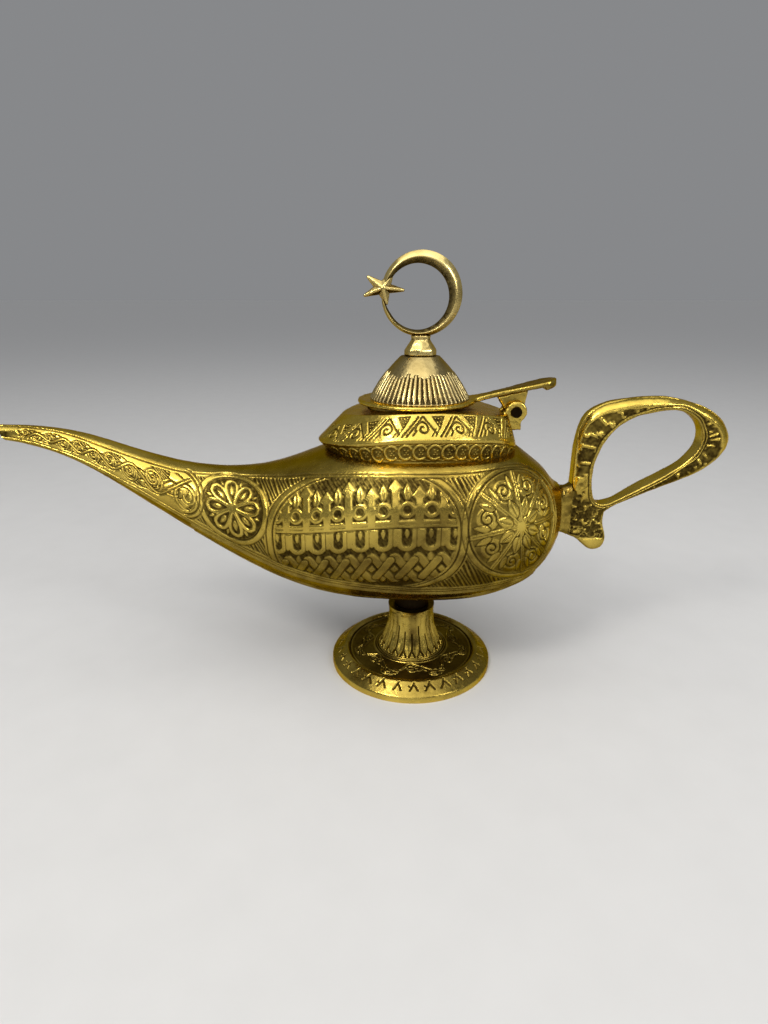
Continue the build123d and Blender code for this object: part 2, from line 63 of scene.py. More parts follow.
# The body's sections: shares of reach, crown, widest line, keel and half width, fullness above and
# below the widest line, and share of the way from the spout's wall to the body's.
SPOUT_SHARES = [
    (-1.000, 1.141, 1.089, 1.037, 0.081, 0.55, 0.55, 0.00),
    (-0.933, 1.136, 1.073, 1.010, 0.098, 0.55, 0.55, 0.10),
    (-0.862, 1.117, 1.034, 0.951, 0.128, 0.55, 0.55, 0.20),
    (-0.794, 1.080, 0.973, 0.866, 0.165, 0.55, 0.55, 0.35),
    (-0.725, 1.021, 0.887, 0.754, 0.203, 0.55, 0.55, 0.50),
    (-0.656, 0.960, 0.797, 0.632, 0.251, 0.55, 0.55, 0.65),
    (-0.585, 0.908, 0.706, 0.506, 0.306, 0.55, 0.55, 0.80),
    (-0.512, 0.876, 0.634, 0.385, 0.374, 0.55, 0.55, 0.90),
    (-0.439, 0.866, 0.588, 0.270, 0.462, 0.56, 0.55, 1.00),
    (-0.364, 0.883, 0.572, 0.166, 0.574, 0.58, 0.56, 1.00),
    (-0.287, 0.936, 0.586, 0.088, 0.694, 0.60, 0.57, 1.00),
    (-0.211, 1.004, 0.622, 0.035, 0.806, 0.64, 0.58, 1.00),
    (-0.107, 1.066, 0.672, 0.006, 0.932, 0.70, 0.59, 1.00),
    (0.000, 1.078, 0.700, 0.000, 0.997, 0.72, 0.60, 1.00),
]
REAR_SHARES = [
    (0.278, 1.077, 0.700, 0.004, 0.984, 0.72, 0.60, 1.00),
    (0.501, 1.064, 0.680, 0.028, 0.892, 0.70, 0.60, 1.00),
    (0.668, 1.020, 0.646, 0.068, 0.757, 0.67, 0.59, 1.00),
    (0.811, 0.925, 0.602, 0.128, 0.585, 0.64, 0.58, 1.00),
    (0.900, 0.850, 0.572, 0.198, 0.440, 0.61, 0.57, 1.00),
    (0.960, 0.785, 0.556, 0.274, 0.322, 0.58, 0.56, 1.00),
    (1.000, 0.760, 0.556, 0.353, 0.238, 0.56, 0.55, 1.00),
]
SECTIONS = np.array([(share * SPOUT, *rest) for share, *rest in SPOUT_SHARES]
                    + [(share * REAR, *rest) for share, *rest in REAR_SHARES])


# Curves and grids

def rise(value, start, width):
    """0 up to start, then up to 1 over the width."""
    return np.clip((value - start) / width, 0, 1)


def fall(value, end, width):
    """From 1 down to 0 over the width that stops at end."""
    return np.clip((end - value) / width, 0, 1)


def spline(x, y, at):
    """Natural cubic spline through the rows y at stations x, read at each place in at."""
    n = len(x)
    h = np.diff(x)
    m, r = np.zeros((n, n)), np.zeros(y.shape)
    m[0, 0] = m[-1, -1] = 1
    for i in range(1, n - 1):
        m[i, i - 1:i + 2] = h[i - 1], 2 * (h[i - 1] + h[i]), h[i]
        r[i] = 6 * ((y[i + 1] - y[i]) / h[i] - (y[i] - y[i - 1]) / h[i - 1])
    c = np.linalg.solve(m, r)
    i = np.clip(np.searchsorted(x, at) - 1, 0, n - 2)
    step = h[i][:, None]
    a, b = (at - x[i])[:, None], (x[i + 1] - at)[:, None]
    return ((c[i] * b ** 3 + c[i + 1] * a ** 3) / (6 * step) + (y[i] / step - c[i] * step / 6) * b
            + (y[i + 1] / step - c[i + 1] * step / 6) * a)


def bezier(p, t):
    """Cubic curve from p[0] to p[3]."""
    s = 1 - t
    return s ** 3 * p[0] + 3 * s * s * t * p[1] + 3 * s * t * t * p[2] + t ** 3 * p[3]


def circle(p0, p1, p2):
    """Centre and radius of the circle through three points."""
    centre = np.linalg.solve([p1 - p0, p2 - p1], [(p1 @ p1 - p0 @ p0) / 2, (p2 @ p2 - p1 @ p1) / 2])
    return centre, np.linalg.norm(p0 - centre)


def lengths(path):
    """Length along a path up to each of its points."""
    return np.concatenate([[0], np.cumsum(np.linalg.norm(np.diff(path, axis=0), axis=1))])


def smooth(points, rounds, closed=False):
    """Evens a path out a little; its ends stay unless it is closed."""
    p = np.array(points, float)
    for _ in range(rounds):
        if closed:
            p = (np.roll(p, 1, 0) + 2 * p + np.roll(p, -1, 0)) / 4
        else:
            p[1:-1] = (p[:-2] + 2 * p[1:-1] + p[2:]) / 4
    return p


def resample(points, count, closed=False):
    """The path with count points at even spacing."""
    p = np.array(points, float)
    if closed:
        p = np.vstack([p, p[:1]])
    s = lengths(p)
    want = np.linspace(0, s[-1], count, endpoint=not closed)
    return np.stack([np.interp(want, s, p[:, k]) for k in range(p.shape[1])], 1)


def inside(path, x, y):
    """True for points inside a closed path."""
    hit = np.zeros(np.broadcast(x, y).shape, bool)
    for p, q in zip(path, np.roll(path, -1, 0)):
        if p[1] != q[1]:
            hit ^= ((p[1] > y) != (q[1] > y)) & (x < (q[0] - p[0]) * (y - p[1]) / (q[1] - p[1]) + p[0])
    return hit


def body_grid(stations, columns, wall=False):
    """Points of the +Y half from keel to crown at each station, and their arc length from the widest
    line; wall draws the sections in by the metal's thickness."""
    rows = spline(SECTIONS[:, 0], SECTIONS[:, 1:], stations)
    t = np.linspace(0, 1, 160)
    points, arc = np.zeros((len(stations), columns, 3)), np.zeros((len(stations), columns))
    for i, (crown, widest, keel, half, high, low, thickness) in enumerate(rows):
        inset = SPOUT_WALL + thickness * (BODY_WALL - SPOUT_WALL) if wall else 0
        crown, widest, keel = KEEL + DEPTH * crown - inset, KEEL + DEPTH * widest, KEEL + DEPTH * keel + inset
        w = HALF * half - inset
        y = np.concatenate([bezier((0, low * w, w, w), t), bezier((w, w, high * w, 0), t[1:])])
        z = np.concatenate([bezier((keel, keel, widest - low * (widest - keel), widest), t),
                            bezier((widest, widest + high * (crown - widest), crown, crown), t[1:])])
        s = np.concatenate([[0], np.cumsum(np.hypot(np.diff(y), np.diff(z)))])
        want = np.linspace(0, s[-1], columns)
        points[i] = np.stack([np.full(columns, stations[i]), np.interp(want, s, y), np.interp(want, s, z)], 1)
        arc[i] = want - s[len(t) - 1]
    return points, arc


def station_arc(stations):
    """Length along the widest line from the foot's axis."""
    rows = spline(SECTIONS[:, 0], SECTIONS[:, 1:], stations)
    s = lengths(np.stack([stations, HALF * rows[:, 3], KEEL + DEPTH * rows[:, 1]], 1))
    return s - np.interp(0, stations, s)


def normals(grid, wrap=False, axis=0.0):
    """Unit normals of a grid of points, facing away from the upright axis at x = axis."""
    du = np.roll(grid, -1, 0) - np.roll(grid, 1, 0) if wrap else np.gradient(grid, axis=0)
    n = np.cross(du, np.gradient(grid, axis=1))
    n = n / np.maximum(np.linalg.norm(n, axis=-1, keepdims=True), 1e-9)
    return n * np.sign((n * (grid - (axis, 0, 0)))[..., :2].sum(-1).mean())


def noise(points, scale, seed, octaves=2):
    """Smooth value noise from -1 to 1 at points in millimetres."""
    table = np.random.default_rng(seed).uniform(-1, 1, (32, 32, 32))
    total, weight, size = 0.0, 1.0, scale
    for _ in range(octaves):
        p = np.asarray(points) / size
        i = np.floor(p).astype(int)
        f = p - i
        f = f * f * (3 - 2 * f)
        value = 0.0
        for corner in range(8):
            d = np.array([corner >> 2 & 1, corner >> 1 & 1, corner & 1])
            w = np.prod(np.where(d == 1, f, 1 - f), axis=-1)
            j = (i + d) % 32
            value = value + w * table[j[..., 0], j[..., 1], j[..., 2]]
        total = total + weight * value
        weight, size = weight / 2, size / 2
    return total / 1.5


# Relief: ornament as a height map over a flat panel

class Relief:
    """Heights over a panel in millimetres: 1 at the polished surface, 0 at the deepest ground."""

    def __init__(self, low, high, pitch):
        self.low, self.pitch = np.array(low, float), pitch
        count = np.ceil((np.array(high) - self.low) / pitch).astype(int) + 1
        self.a = self.low[0] + pitch * np.arange(count[0])
        self.b = self.low[1] + pitch * np.arange(count[1])
        self.h = np.ones(count)
        self.grid = np.meshgrid(self.a, self.b, indexing="ij")

    def window(self, pts, reach):
        """The part of the panel within reach of some points."""
        lo = np.floor((pts.min(0) - reach - self.low) / self.pitch).astype(int)
        hi = np.ceil((pts.max(0) + reach - self.low) / self.pitch).astype(int) + 1
        lo, hi = np.clip(lo, 0, self.h.shape), np.clip(hi, 0, self.h.shape)
        return slice(lo[0], hi[0]), slice(lo[1], hi[1])

    def distance(self, pts, reach, closed=False):
        """Distance to a path, in the part of the panel that its reach covers."""
        pts = np.array(pts, float)
        if closed:
            pts = np.vstack([pts, pts[:1]])
        box = self.window(pts, reach)
        d = np.full(self.h[box].shape, 1e3)
        for p, q in zip(pts[:-1], pts[1:]):
            part = self.window(np.array([p, q]), reach)
            a, b = self.a[part[0]][:, None], self.b[part[1]][None]
            v = q - p
            t = np.clip(((a - p[0]) * v[0] + (b - p[1]) * v[1]) / max(v @ v, 1e-9), 0, 1)
            inner = tuple(slice(some.start - whole.start, some.stop - whole.start)
                          for some, whole in zip(part, box))
            d[inner] = np.minimum(d[inner], np.hypot(a - p[0] - t * v[0], b - p[1] - t * v[1]))
        return box, d

    def groove(self, pts, width, depth, closed=False):
        """Cuts a round-bottomed line."""
        box, d = self.distance(pts, width, closed)
        cut = np.clip(1 - (d / (width / 2)) ** 2, 0, 1) ** 0.7
        self.h[box] = np.minimum(self.h[box], 1 - depth * cut)

    def strap(self, pts, width, level=1.0, edge=0.35, closed=False, rim=0.0):
        """Raises a flat band with soft edges; rim cuts a line at each side first, where it passes over."""
        box, d = self.distance(pts, width + rim + edge, closed)
        if rim:
            self.h[box] = np.minimum(self.h[box], 1 - 0.85 * fall(d, width / 2 + rim, edge))
        up = fall(d, width / 2, edge)
        self.h[box] = np.maximum(self.h[box], level * up * (2 - up))

    def bead(self, pts, width, height):
        """Raises a half-round line above the surface."""
        box, d = self.distance(pts, width)
        up = np.clip(1 - (d / (width / 2)) ** 2, 0, 1) ** 0.5
        self.h[box] = np.maximum(self.h[box], 1 + height * up - (up <= 0))

    def shape(self, pts, level=1.0, edge=0.35, crown=0.0, rim=0.0):
        """Raises a closed outline; crown makes its middle higher than its edge."""
        box, d = self.distance(pts, rim + edge, True)
        within = inside(np.array(pts, float), self.a[box[0]][:, None], self.b[box[1]][None])
        if rim:
            self.h[box] = np.minimum(self.h[box], np.where(within | (d < rim), 0.15, 1))
        up = np.where(within, np.clip(d / edge, 0, 1), 0)
        self.h[box] = np.maximum(self.h[box], (level - crown * np.exp(-d / 0.7)) * up * (2 - up))

    def ground(self, mask, level):
        """Lowers the panel where the mask is 1."""
        self.h = np.minimum(self.h, 1 - mask * (1 - level))

    def sample(self, a, b):
        """Height at each place."""
        u = np.clip((a - self.low[0]) / self.pitch, 0, self.h.shape[0] - 1.001)
        v = np.clip((b - self.low[1]) / self.pitch, 0, self.h.shape[1] - 1.001)
        i, j = u.astype(int), v.astype(int)
        u, v = u - i, v - j
        h = self.h
        return ((1 - u) * (1 - v) * h[i, j] + u * (1 - v) * h[i + 1, j] + (1 - u) * v * h[i, j + 1]
                + u * v * h[i + 1, j + 1])


def polar(x, y, radius, angle):
    """The point at a radius and an angle from (x, y)."""
    return x + radius * math.cos(math.radians(angle)), y + radius * math.sin(math.radians(angle))


def ring(x, y, radius, start=0.0, turn=360.0, count=40, squash=1.0):
    """A circle or an arc of it, as a path."""
    t = np.radians(np.linspace(start, start + turn, count))
    return np.stack([x + radius * np.cos(t), y + squash * radius * np.sin(t)], 1)


def spiral(x, y, outer, inner, start, turns, count=36):
    """A scroll from its outer end, at the start angle, inwards."""
    f = np.linspace(0, 1, count)
    t = np.radians(start) + turns * 2 * math.pi * f
    r = outer + (inner - outer) * f
    return np.stack([x + r * np.cos(t), y + r * np.sin(t)], 1)


def blade(x, y, angle, f, length, low, high):
    """Outline between two edges over the shares f of a length, from its stalk at (x, y)."""
    along = np.concatenate([f, f[::-1][1:-1]]) * length
    across = np.concatenate([high, low[::-1][1:-1]])
    c, s = math.cos(math.radians(angle)), math.sin(math.radians(angle))
    return np.stack([x + c * along - s * across, y + s * along + c * across], 1)


def petal(x, y, angle, length, width):
    """A round-ended petal's outline."""
    f = np.linspace(0, 1, 16)
    half = width * 0.66 * f ** 0.75 * np.sqrt(1 - f ** 3.2)
    return blade(x, y, angle, f, length, -half, half)


def leaf(x, y, angle, length, width, bend=0.0):
    """A pointed leaf's outline."""
    f = np.linspace(0, 1, 14)
    half = width / 2 * np.sin(math.pi * f ** 0.75) ** 0.9
    mid = bend * length * f * (1 - f)
    return blade(x, y, angle, f, length, mid - half, mid + half)


def hatch(relief, angle, pitch, low, high):
    """Height of a ground cut with parallel chisel strokes."""
    a, b = relief.grid
    t = math.radians(angle)
    wobble = 0.25 * np.sin(a * 0.9 + 0.7 * b)
    wave = 0.5 + 0.5 * np.cos(2 * math.pi * (a * math.cos(t) + b * math.sin(t) + wobble) / pitch)
    return low + (high - low) * wave ** 1.6


# Body ornament, in length along the widest line from the foot's axis and arc length above it

TOP_BORDER = [(-162, 3.6), (-152, 4.0), (-145, 4.3), (-137.6, 5.2), (-122, 6.3), (-106, 8.9), (-90, 12.5),
              (-82, 15.2), (-70.6, 19.4), (-58.3, 21.6), (-41.8, 21.4), (-26, 19.4), (-12.4, 17.9),
              (0.7, 17.4), (10, 17.4), (20, 18.2), (29.6, 20.2), (39.3, 21.4), (48, 20.4), (56, 14.0),
              (60, 10.0), (68, 9.0)]
LOW_BORDER = [(-162, -1.0), (-152, -1.2), (-145, -1.6), (-137.6, -2.2), (-122, -2.1), (-106, -2.3),
              (-90, -3.6), (-82, -5.4), (-74, -6.9), (-66, -8.9), (-58, -11.5), (-50.6, -15.3),
              (-42.8, -18.2), (-31, -22.4), (-16, -26.3), (-2, -28.3), (12, -28.6), (22.6, -27.4),
              (35, -25.6), (45.6, -22.0), (56, -14.5), (60, -11.0), (68, -10.0)]
KEEL_RIDGE = [(-96, -8.2), (-90.7, -10.9), (-76.4, -15.9), (-60.5, -21.7), (-43.9, -28.0), (-26.2, -36.7),
              (-5.1, -41.0), (16.7, -38.4), (32.1, -32.2), (46, -24.5), (56, -17)]

# Round frames as (x, y, radius), and the cartouche as (x, y, half width, half height) with its squareness
PANEL_END = (-89.6, 5.1, 8.4)
ROSETTE = (-67.9, 5.9, 11.8)
REAR_ROUND = (36.8, -0.5, 20.6)
CARTOUCHE = (-19.2, -4.2, 33.6, 24.5)
SQUARENESS = 2.4


def border_at(border, a):
    """Height of a border at each place along the body."""
    return np.interp(a, *np.array(border).T)


def within_borders(a, b):
    """How far a place lies inside the nearer border."""
    return np.minimum(border_at(TOP_BORDER, a) - b, b - border_at(LOW_BORDER, a))


def within_cartouche(a, b):
    """About how far a place lies inside the cartouche's edge."""
    x, y, half, tall = CARTOUCHE
    share = (np.abs((a - x) / half) ** SQUARENESS + np.abs((b - y) / tall) ** SQUARENESS) ** (1 / SQUARENESS)
    return (1 - share) * tall


def carve_corners(panel):
    """Hatched corners between the round and oval frames."""
    a, b = panel.grid
    edge = 0.35
    corner = rise(within_borders(a, b), 1.2, edge) * rise(-within_cartouche(a, b), 1.9, edge)
    for (x, y, r), gap in ((ROSETTE, 2.6), (REAR_ROUND, 2.6), (PANEL_END, 2.2)):
        corner = corner * rise(np.hypot(a - x, b - y), r + gap, edge)
    corner = corner * (a > PANEL_END[0]) * (a < 58)
    panel.ground(corner, 0.45)
    panel.h = np.where(corner > 0.5, hatch(panel, 25, 1.35, 0.08, 0.92), panel.h)


def carve_scrolls(panel):
    """Scrolls and leaves along a stem on the spout, smaller towards its tip."""
    a, b = panel.grid
    x, y, r = PANEL_END
    before = panel.h.copy()
    chased = hatch(panel, 60, 0.9, 0.05, 0.75)
    place, side, stem = -84.0, 1, []
    while place > -150:
        top, low = border_at(TOP_BORDER, place), border_at(LOW_BORDER, place)
        mid = (top + low) / 2
        size = max((top - low) / 2 - 0.7, 1.0)
        stem.append((place, mid + side * 0.80 * size))
        corner = np.hypot((a - place - 0.2 * size) / 1.05, b - mid + side * 0.95 * size) < 0.62 * size
        panel.h = np.where(corner, chased, panel.h)
        for lean, reach, wide in ((150, 1.35, 0.55), (195, 1.2, 0.45), (75, 0.95, 0.45), (110, 0.8, 0.4)):
            outline = leaf(place - 0.35 * size, mid + side * 0.45 * size, side * (180 - lean) + 180,
                           reach * size, wide * size, 0.35 * side)
            panel.shape(outline, 1.0, 0.25, 0.2, 0.28)
        scroll = spiral(place - 0.25 * size, mid - side * 0.10 * size, 0.78 * size, 0.14 * size,
                        90 * side - 40, -side * 1.6)
        panel.strap(scroll, 0.10 * size + 0.35, 1.0, 0.25, rim=0.32)
        place -= 1.55 * size + 0.7
        side = -side
    panel.strap(smooth(resample(stem, 160), 30), 0.9, 1.0, 0.3, rim=0.4)
    rounded = np.where(a > x, fall(np.hypot(a - x, b - y), r - 0.9, 0.3), 1)
    shown = rise(within_borders(a, b), 0.9, 0.3) * (a > -153) * rounded
    panel.h = before + (panel.h - before) * shown
    panel.groove(ring(x, y, r, -80, 160), 0.75, 0.85)
    panel.groove(ring(x, y, r + 1.7, -75, 150), 0.7, 0.8)


def carve_rosette(panel):
    """Eight petals in a double ring."""
    a, b = panel.grid
    x, y, r = ROSETTE
    panel.ground(fall(np.hypot(a - x, b - y), r, 0.3), 0.12)
    for k in range(8):
        turned = 45 * k + 8
        between = turned + 22.5
        panel.strap(petal(*polar(x, y, 0.8, turned), turned, 9.6, 5.4), 1.5, closed=True)
        panel.shape(leaf(*polar(x, y, 4.3, turned), turned, 4.6, 2.2), 0.85, 0.3, 0.3)
        panel.shape(leaf(*polar(x, y, 8.6, between), between, 2.8, 1.3), 0.8, 0.25)
    panel.shape(ring(x, y, 1.7, count=24), 1.0, 0.3)
    panel.groove(ring(x, y, r + 0.2, count=120), 0.8, 0.95)
    panel.groove(ring(x, y, r + 2.6, count=120), 0.6, 0.7)


def carve_lattice(panel, x, base):
    """Two zigzag bands that pass over and under each other, with diamonds and leaves between."""
    period, swing, width = 15.6, 6.6, 3.0
    along = np.linspace(x - 2.5 * period, x + 2.5 * period, 300)
    zigzag = 2 / math.pi * np.arcsin(0.97 * np.sin(2 * math.pi * (along - x) / period))
    bands = [np.stack([along, base + way * swing * zigzag], 1) for way in (1, -1)]
    for band in bands:
        panel.strap(band, width)
    for k in range(-5, 6):
        cross = x + k * period / 2
        over = bands[k % 2]
        near = over[np.abs(over[:, 0] - cross) < 2.6]
        if len(near) > 2:
            panel.strap(near, width, rim=0.45)
        centre = cross + period / 4
        diamond = [(centre, base + 2.0), (centre + 1.5, base), (centre, base - 2.0), (centre - 1.5, base)]
        panel.shape(diamond, 0.9, 0.3)
        for side in (-1, 1):
            panel.shape(leaf(cross, base + side * 3.4, side * 90, 4.2, 2.4), 0.9, 0.3, 0.25)


def carve_pickets(panel, x, rail):
    """Arrow-headed pickets, rings and leaves above a rail, and loops and posts below it."""
    step = 7.8
    for k in range(-5, 6):
        mid = x + k * step
        post, drop = mid + step / 2, rail - 6.4
        loop = np.vstack([[(mid - 2.6, rail)], ring(mid, drop, 2.6, 180, 180, 16), [(mid + 2.6, rail)]])
        panel.strap(loop, 2.1, 0.97)
        panel.shape(leaf(mid, rail - 1.6, -90, 4.0, 1.7), 0.9, 0.3)
        panel.strap([(post, rail), (post, drop - 1.2)], 1.5, 0.95, rim=0.3)
    line = [(x - 36, rail), (x + 36, rail)]
    panel.strap(line, 2.9, rim=0.4)
    panel.groove(line, 0.4, 0.45)
    for k in range(-4, 5):
        mid = x + k * step
        post, head = mid + step / 2, rail + (14.4 if k % 2 else 11.6)
        panel.strap([(post, rail + 0.6), (post, head - 3.4)], 2.9)
        arrow = [(post, head + 1.2), (post + 2.7, head - 2.6), (post + 1.3, head - 3.6),
                 (post - 1.3, head - 3.6), (post - 2.7, head - 2.6)]
        panel.shape(arrow, 1.0, 0.3)
        panel.strap(ring(mid, rail + 4.6, 2.1, count=26), 1.6, 0.95)
        panel.shape(leaf(mid, rail + 7.4, 90, 6.4, 3.2), 0.95, 0.3, 0.25)
        panel.groove([(mid, rail + 8.0), (mid, rail + 12.0)], 0.4, 0.6)


def carve_cartouche(panel):
    """The large oval: pickets over an interlaced lattice, on a hatched ground in a double line."""
    a, b = panel.grid
    x, y, half, tall = CARTOUCHE
    deep = within_cartouche(a, b)
    inner = rise(deep, 1.1, 0.3) * rise(within_borders(a, b), 1.6, 0.3)
    panel.ground(inner, 0.5)
    panel.h = np.where(inner > 0.5, hatch(panel, 32, 1.3, 0.0, 0.40), panel.h)
    before = panel.h.copy()
    carve_lattice(panel, x, y - 12.4)
    carve_pickets(panel, x, y + 5.0)
    panel.h = np.where(inner > 0, before + (panel.h - before) * rise(deep, 1.0, 0.6), before)
    way = ring(0, 0, 1, count=240)
    outline = np.sign(way) * np.abs(way) ** (2 / SQUARENESS)
    for shrink, width in ((0.5, 0.8), (-2.0, 0.7)):
        line = outline * (half - shrink, tall - shrink) + (x, y)
        line[:, 1] = np.clip(line[:, 1], border_at(LOW_BORDER, line[:, 0]) + 1.4,
                             border_at(TOP_BORDER, line[:, 0]) - 1.4)
        panel.groove(line, width, 0.85, True)


def carve_roundel(panel):
    """Spokes from the rear round's middle, with a scroll and leaves in each sector."""
    a, b = panel.grid
    x, y, r = REAR_ROUND
    out = np.hypot(a - x, b - y)
    panel.ground(fall(out, r - 0.6, 0.3) * (out > 1.5), 0.42)
    spokes = 8
    for k in range(spokes):
        spoke = 360 / spokes * k + 12
        mid = spoke + 180 / spokes
        hand = 1 if k % 2 else -1
        knob = polar(x, y, 14.2, mid)
        panel.strap([polar(x, y, 1.5, spoke), polar(x, y, r, spoke)], 1.9, rim=0.25)
        panel.groove([polar(x, y, 2, spoke), polar(x, y, r - 1, spoke)], 0.4, 0.7)
        panel.shape(ring(*knob, 4.3, count=30), 0.97, 0.4)
        panel.groove(spiral(*knob, 3.3, 0.7, mid + 180, hand * 1.5), 0.75, 0.95)
        panel.shape(leaf(*polar(x, y, 3.6, mid), mid, 7.4, 4.4), 1.0, 0.3, 0.3, 0.25)
        panel.groove([polar(x, y, 4.6, mid), polar(x, y, 9.6, mid)], 0.45, 0.75)
        for lean in (-1, 1):
            tip = mid + lean * 15.5
            panel.shape(leaf(*polar(x, y, 12.6, tip), tip - lean * 8, 6.6, 2.6), 0.97, 0.3, 0.2, 0.2)
    panel.shape(ring(x, y, 2.2, count=20), 1.0, 0.4)
    panel.groove(ring(x, y, r, count=140), 0.9, 0.9)
    panel.groove(ring(x, y, r + 2.2, count=140), 0.6, 0.7)


def carve_borders(panel):
    """Lines along the borders and the keel, and raised edges beside them."""
    def line(border, shift):
        return smooth(resample(np.array(border) + (0, shift), 260), 12)

    for border, shift, width, depth in ((TOP_BORDER, 0.0, 0.75, 0.8), (LOW_BORDER, 0.0, 0.75, 0.8),
                                        (LOW_BORDER, -1.6, 0.6, 0.6), (KEEL_RIDGE, 0.0, 0.8, 0.7),
                                        (KEEL_RIDGE, -2.2, 0.7, 0.6)):
        path = line(border, shift)
        panel.groove(path[path[:, 0] < 57], width, depth)
    for border, shift in ((KEEL_RIDGE, 1.3), (KEEL_RIDGE, -3.6), (LOW_BORDER, -3.0)):
        path = line(border, shift)
        panel.bead(path[(path[:, 0] < 50) & (path[:, 0] > -86)], 1.1, 0.7)


# Meshes. A part is a grid or set of points, its recess, its tarnish and painted shade, and its faces. Recess
# is 0 on the polished surface and 1 in the deepest cut, and on a few pieces it also holds painted shade;
# tarnish and painted shade go from 0 for bright metal to 1 for brown.

def grid_faces(rows, columns, wrap=False, flip=False):
    """Four-cornered faces of a grid of points; wrap joins the last row to the first."""
    i = np.arange(rows if wrap else rows - 1)[:, None]
    j = np.arange(columns - 1)[None]
    k = (i + 1) % rows
    corners = [i * columns + j, k * columns + j, k * columns + j + 1, i * columns + j + 1]
    return np.stack(corners[::-1] if flip else corners, -1).reshape(-1, 4)


def sheet(grid, recess, tarnish_and_shade=0.0, wrap=True, flip=False):
    """A grid as a part."""
    return grid, recess, tarnish_and_shade, grid_faces(*grid.shape[:2], wrap, flip)


def cap(edge, recess, tarnish_and_shade, flip):
    """A part that closes an open end with a fan to its middle."""
    return sheet(np.stack([edge, np.broadcast_to(edge.mean(0), edge.shape)], 1), recess, tarnish_and_shade, flip=flip)


def join(parts):
    """One part made of several, whose faces are counted from 0."""
    joined, start = [[], [], [], []], 0
    for points, recess, tarnish_and_shade, faces in parts:
        shape = points.shape[:-1]
        part = (points.reshape(-1, 3), np.broadcast_to(recess, shape).ravel(),
                np.broadcast_to(tarnish_and_shade, shape).ravel(), faces + start)
        for values, more in zip(joined, part):
            values.append(more)
        start += len(part[0])
    return [np.concatenate(values) for values in joined]


def add_mesh(name, parts, body, node, material):
    """Makes the piece that stands for a CAD node; metal that faces down is browned with painted shade."""
    points, recess, tarnish_and_shade, faces = join(parts)
    mesh = bpy.data.meshes.new(name)
    mesh.vertices.add(len(points))
    mesh.vertices.foreach_set("co", (points * MM).ravel())
    mesh.loops.add(faces.size)
    mesh.loops.foreach_set("vertex_index", faces.astype(np.int32).ravel())
    mesh.polygons.add(len(faces))
    mesh.polygons.foreach_set("loop_start", np.arange(0, faces.size, 4, dtype=np.int32))
    mesh.update(calc_edges=True)
    mesh.shade_smooth()
    n = np.zeros(len(points) * 3, np.float32)
    mesh.vertex_normals.foreach_get("vector", n)
    # Painted shade: faces that point down are browned, the more the further down they point
    under = fall(n.reshape(-1, 3)[:, 2], 0.15, 1) ** 0.8
    tarnish_and_shade = np.clip(tarnish_and_shade + 0.70 * under, 0, 0.92)
    for label, value in (("recess", recess), ("tarnish_and_shade", tarnish_and_shade)):
        layer = mesh.attributes.new(label, "FLOAT", "POINT")
        layer.data.foreach_set("value", value.astype(np.float32))
    mesh.materials.append(material)
    piece = bpy.data.objects.new(name, mesh)
    bpy.context.scene.collection.objects.link(piece)
    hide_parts(node)
    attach(piece, body)


# Body

def boat_half(front, rear, half):
    """Half of the collar's plan outline, from its front round by +Y to its rear."""
    t = np.linspace(0, 1, 200)
    nose = [bezier((-front, -front, -0.62 * front, 0), t), bezier((0, 0.42 * half, half, half), t)]
    tail = [bezier((0, 0.58 * rear, rear, rear), t), bezier((half, half, 0.52 * half, 0), t)]
    return np.concatenate([np.stack(nose, 1), np.stack(tail, 1)[1:]])


def boat(inset, count):
    """The plan outline of the collar's wall at the seat, drawn in, as a closed path."""
    half = boat_half(COLLAR_FRONT - inset, COLLAR_REAR - inset, COLLAR_HALF - inset)
    return resample(np.concatenate([half, half[::-1][1:-1] * (1, -1)]), count, True)


def boat_side(inset):
    """The +Y side of that outline, in the order of x."""
    path = boat(inset, 400)
    path = path[path[:, 1] >= -0.01]
    path = path[np.argsort(path[:, 0])]
    path[:, 1] = np.maximum(path[:, 1], 0)
    return path


def even_stations(count):
    """Stations at even lengths along the widest line, and those lengths."""
    dense = np.linspace(-SPOUT, REAR, 3000)
    arc = station_arc(dense)
    stations = np.interp(np.linspace(arc[0], arc[-1], count), arc, dense)
    return stations, np.interp(stations, dense, arc)


def open_to_collar(grid, faces, inset, level):
    """The faces without those that lie inside the collar's outline and above a level."""
    middle = grid.reshape(-1, 3)[faces].mean(1)
    return faces[~(inside(boat(inset, 200), middle[:, 0], middle[:, 1]) & (middle[:, 2] > level))]


def cut_back(points, top, drop):
    """Slants the spout's mouth: its upper lip reaches furthest and its lower lip is cut back."""
    near = fall(points[..., 0], 10 - SPOUT, 10)
    low = fall(points[..., 2], top, drop)
    return points + (1.8 * near * low)[..., None] * (1, 0, 0.1)


def body_shade_and_tarnish(along, above):
    """Browner metal as painted reflection on the belly and painted shade on the keel, under the collar and on
    the lower flank.
    """
    # Painted reflection: a dark blotch in the middle of the side
    painted_reflection = np.exp(-(((along - 5) / 17) ** 2 + ((above - 6) / 13) ** 2) ** 2) * 0.72
    # Painted shade on the keel, on the crown under the collar and on the lower flank; a little tarnish
    # everywhere
    keel = fall(above, border_at(LOW_BORDER, along), 5) * 0.30
    crown = rise(above, 16.5, 5.5) * 0.58
    flank_shade = fall(above, -1, 11) * 0.60
    return painted_reflection + keel + crown + flank_shade + 0.02


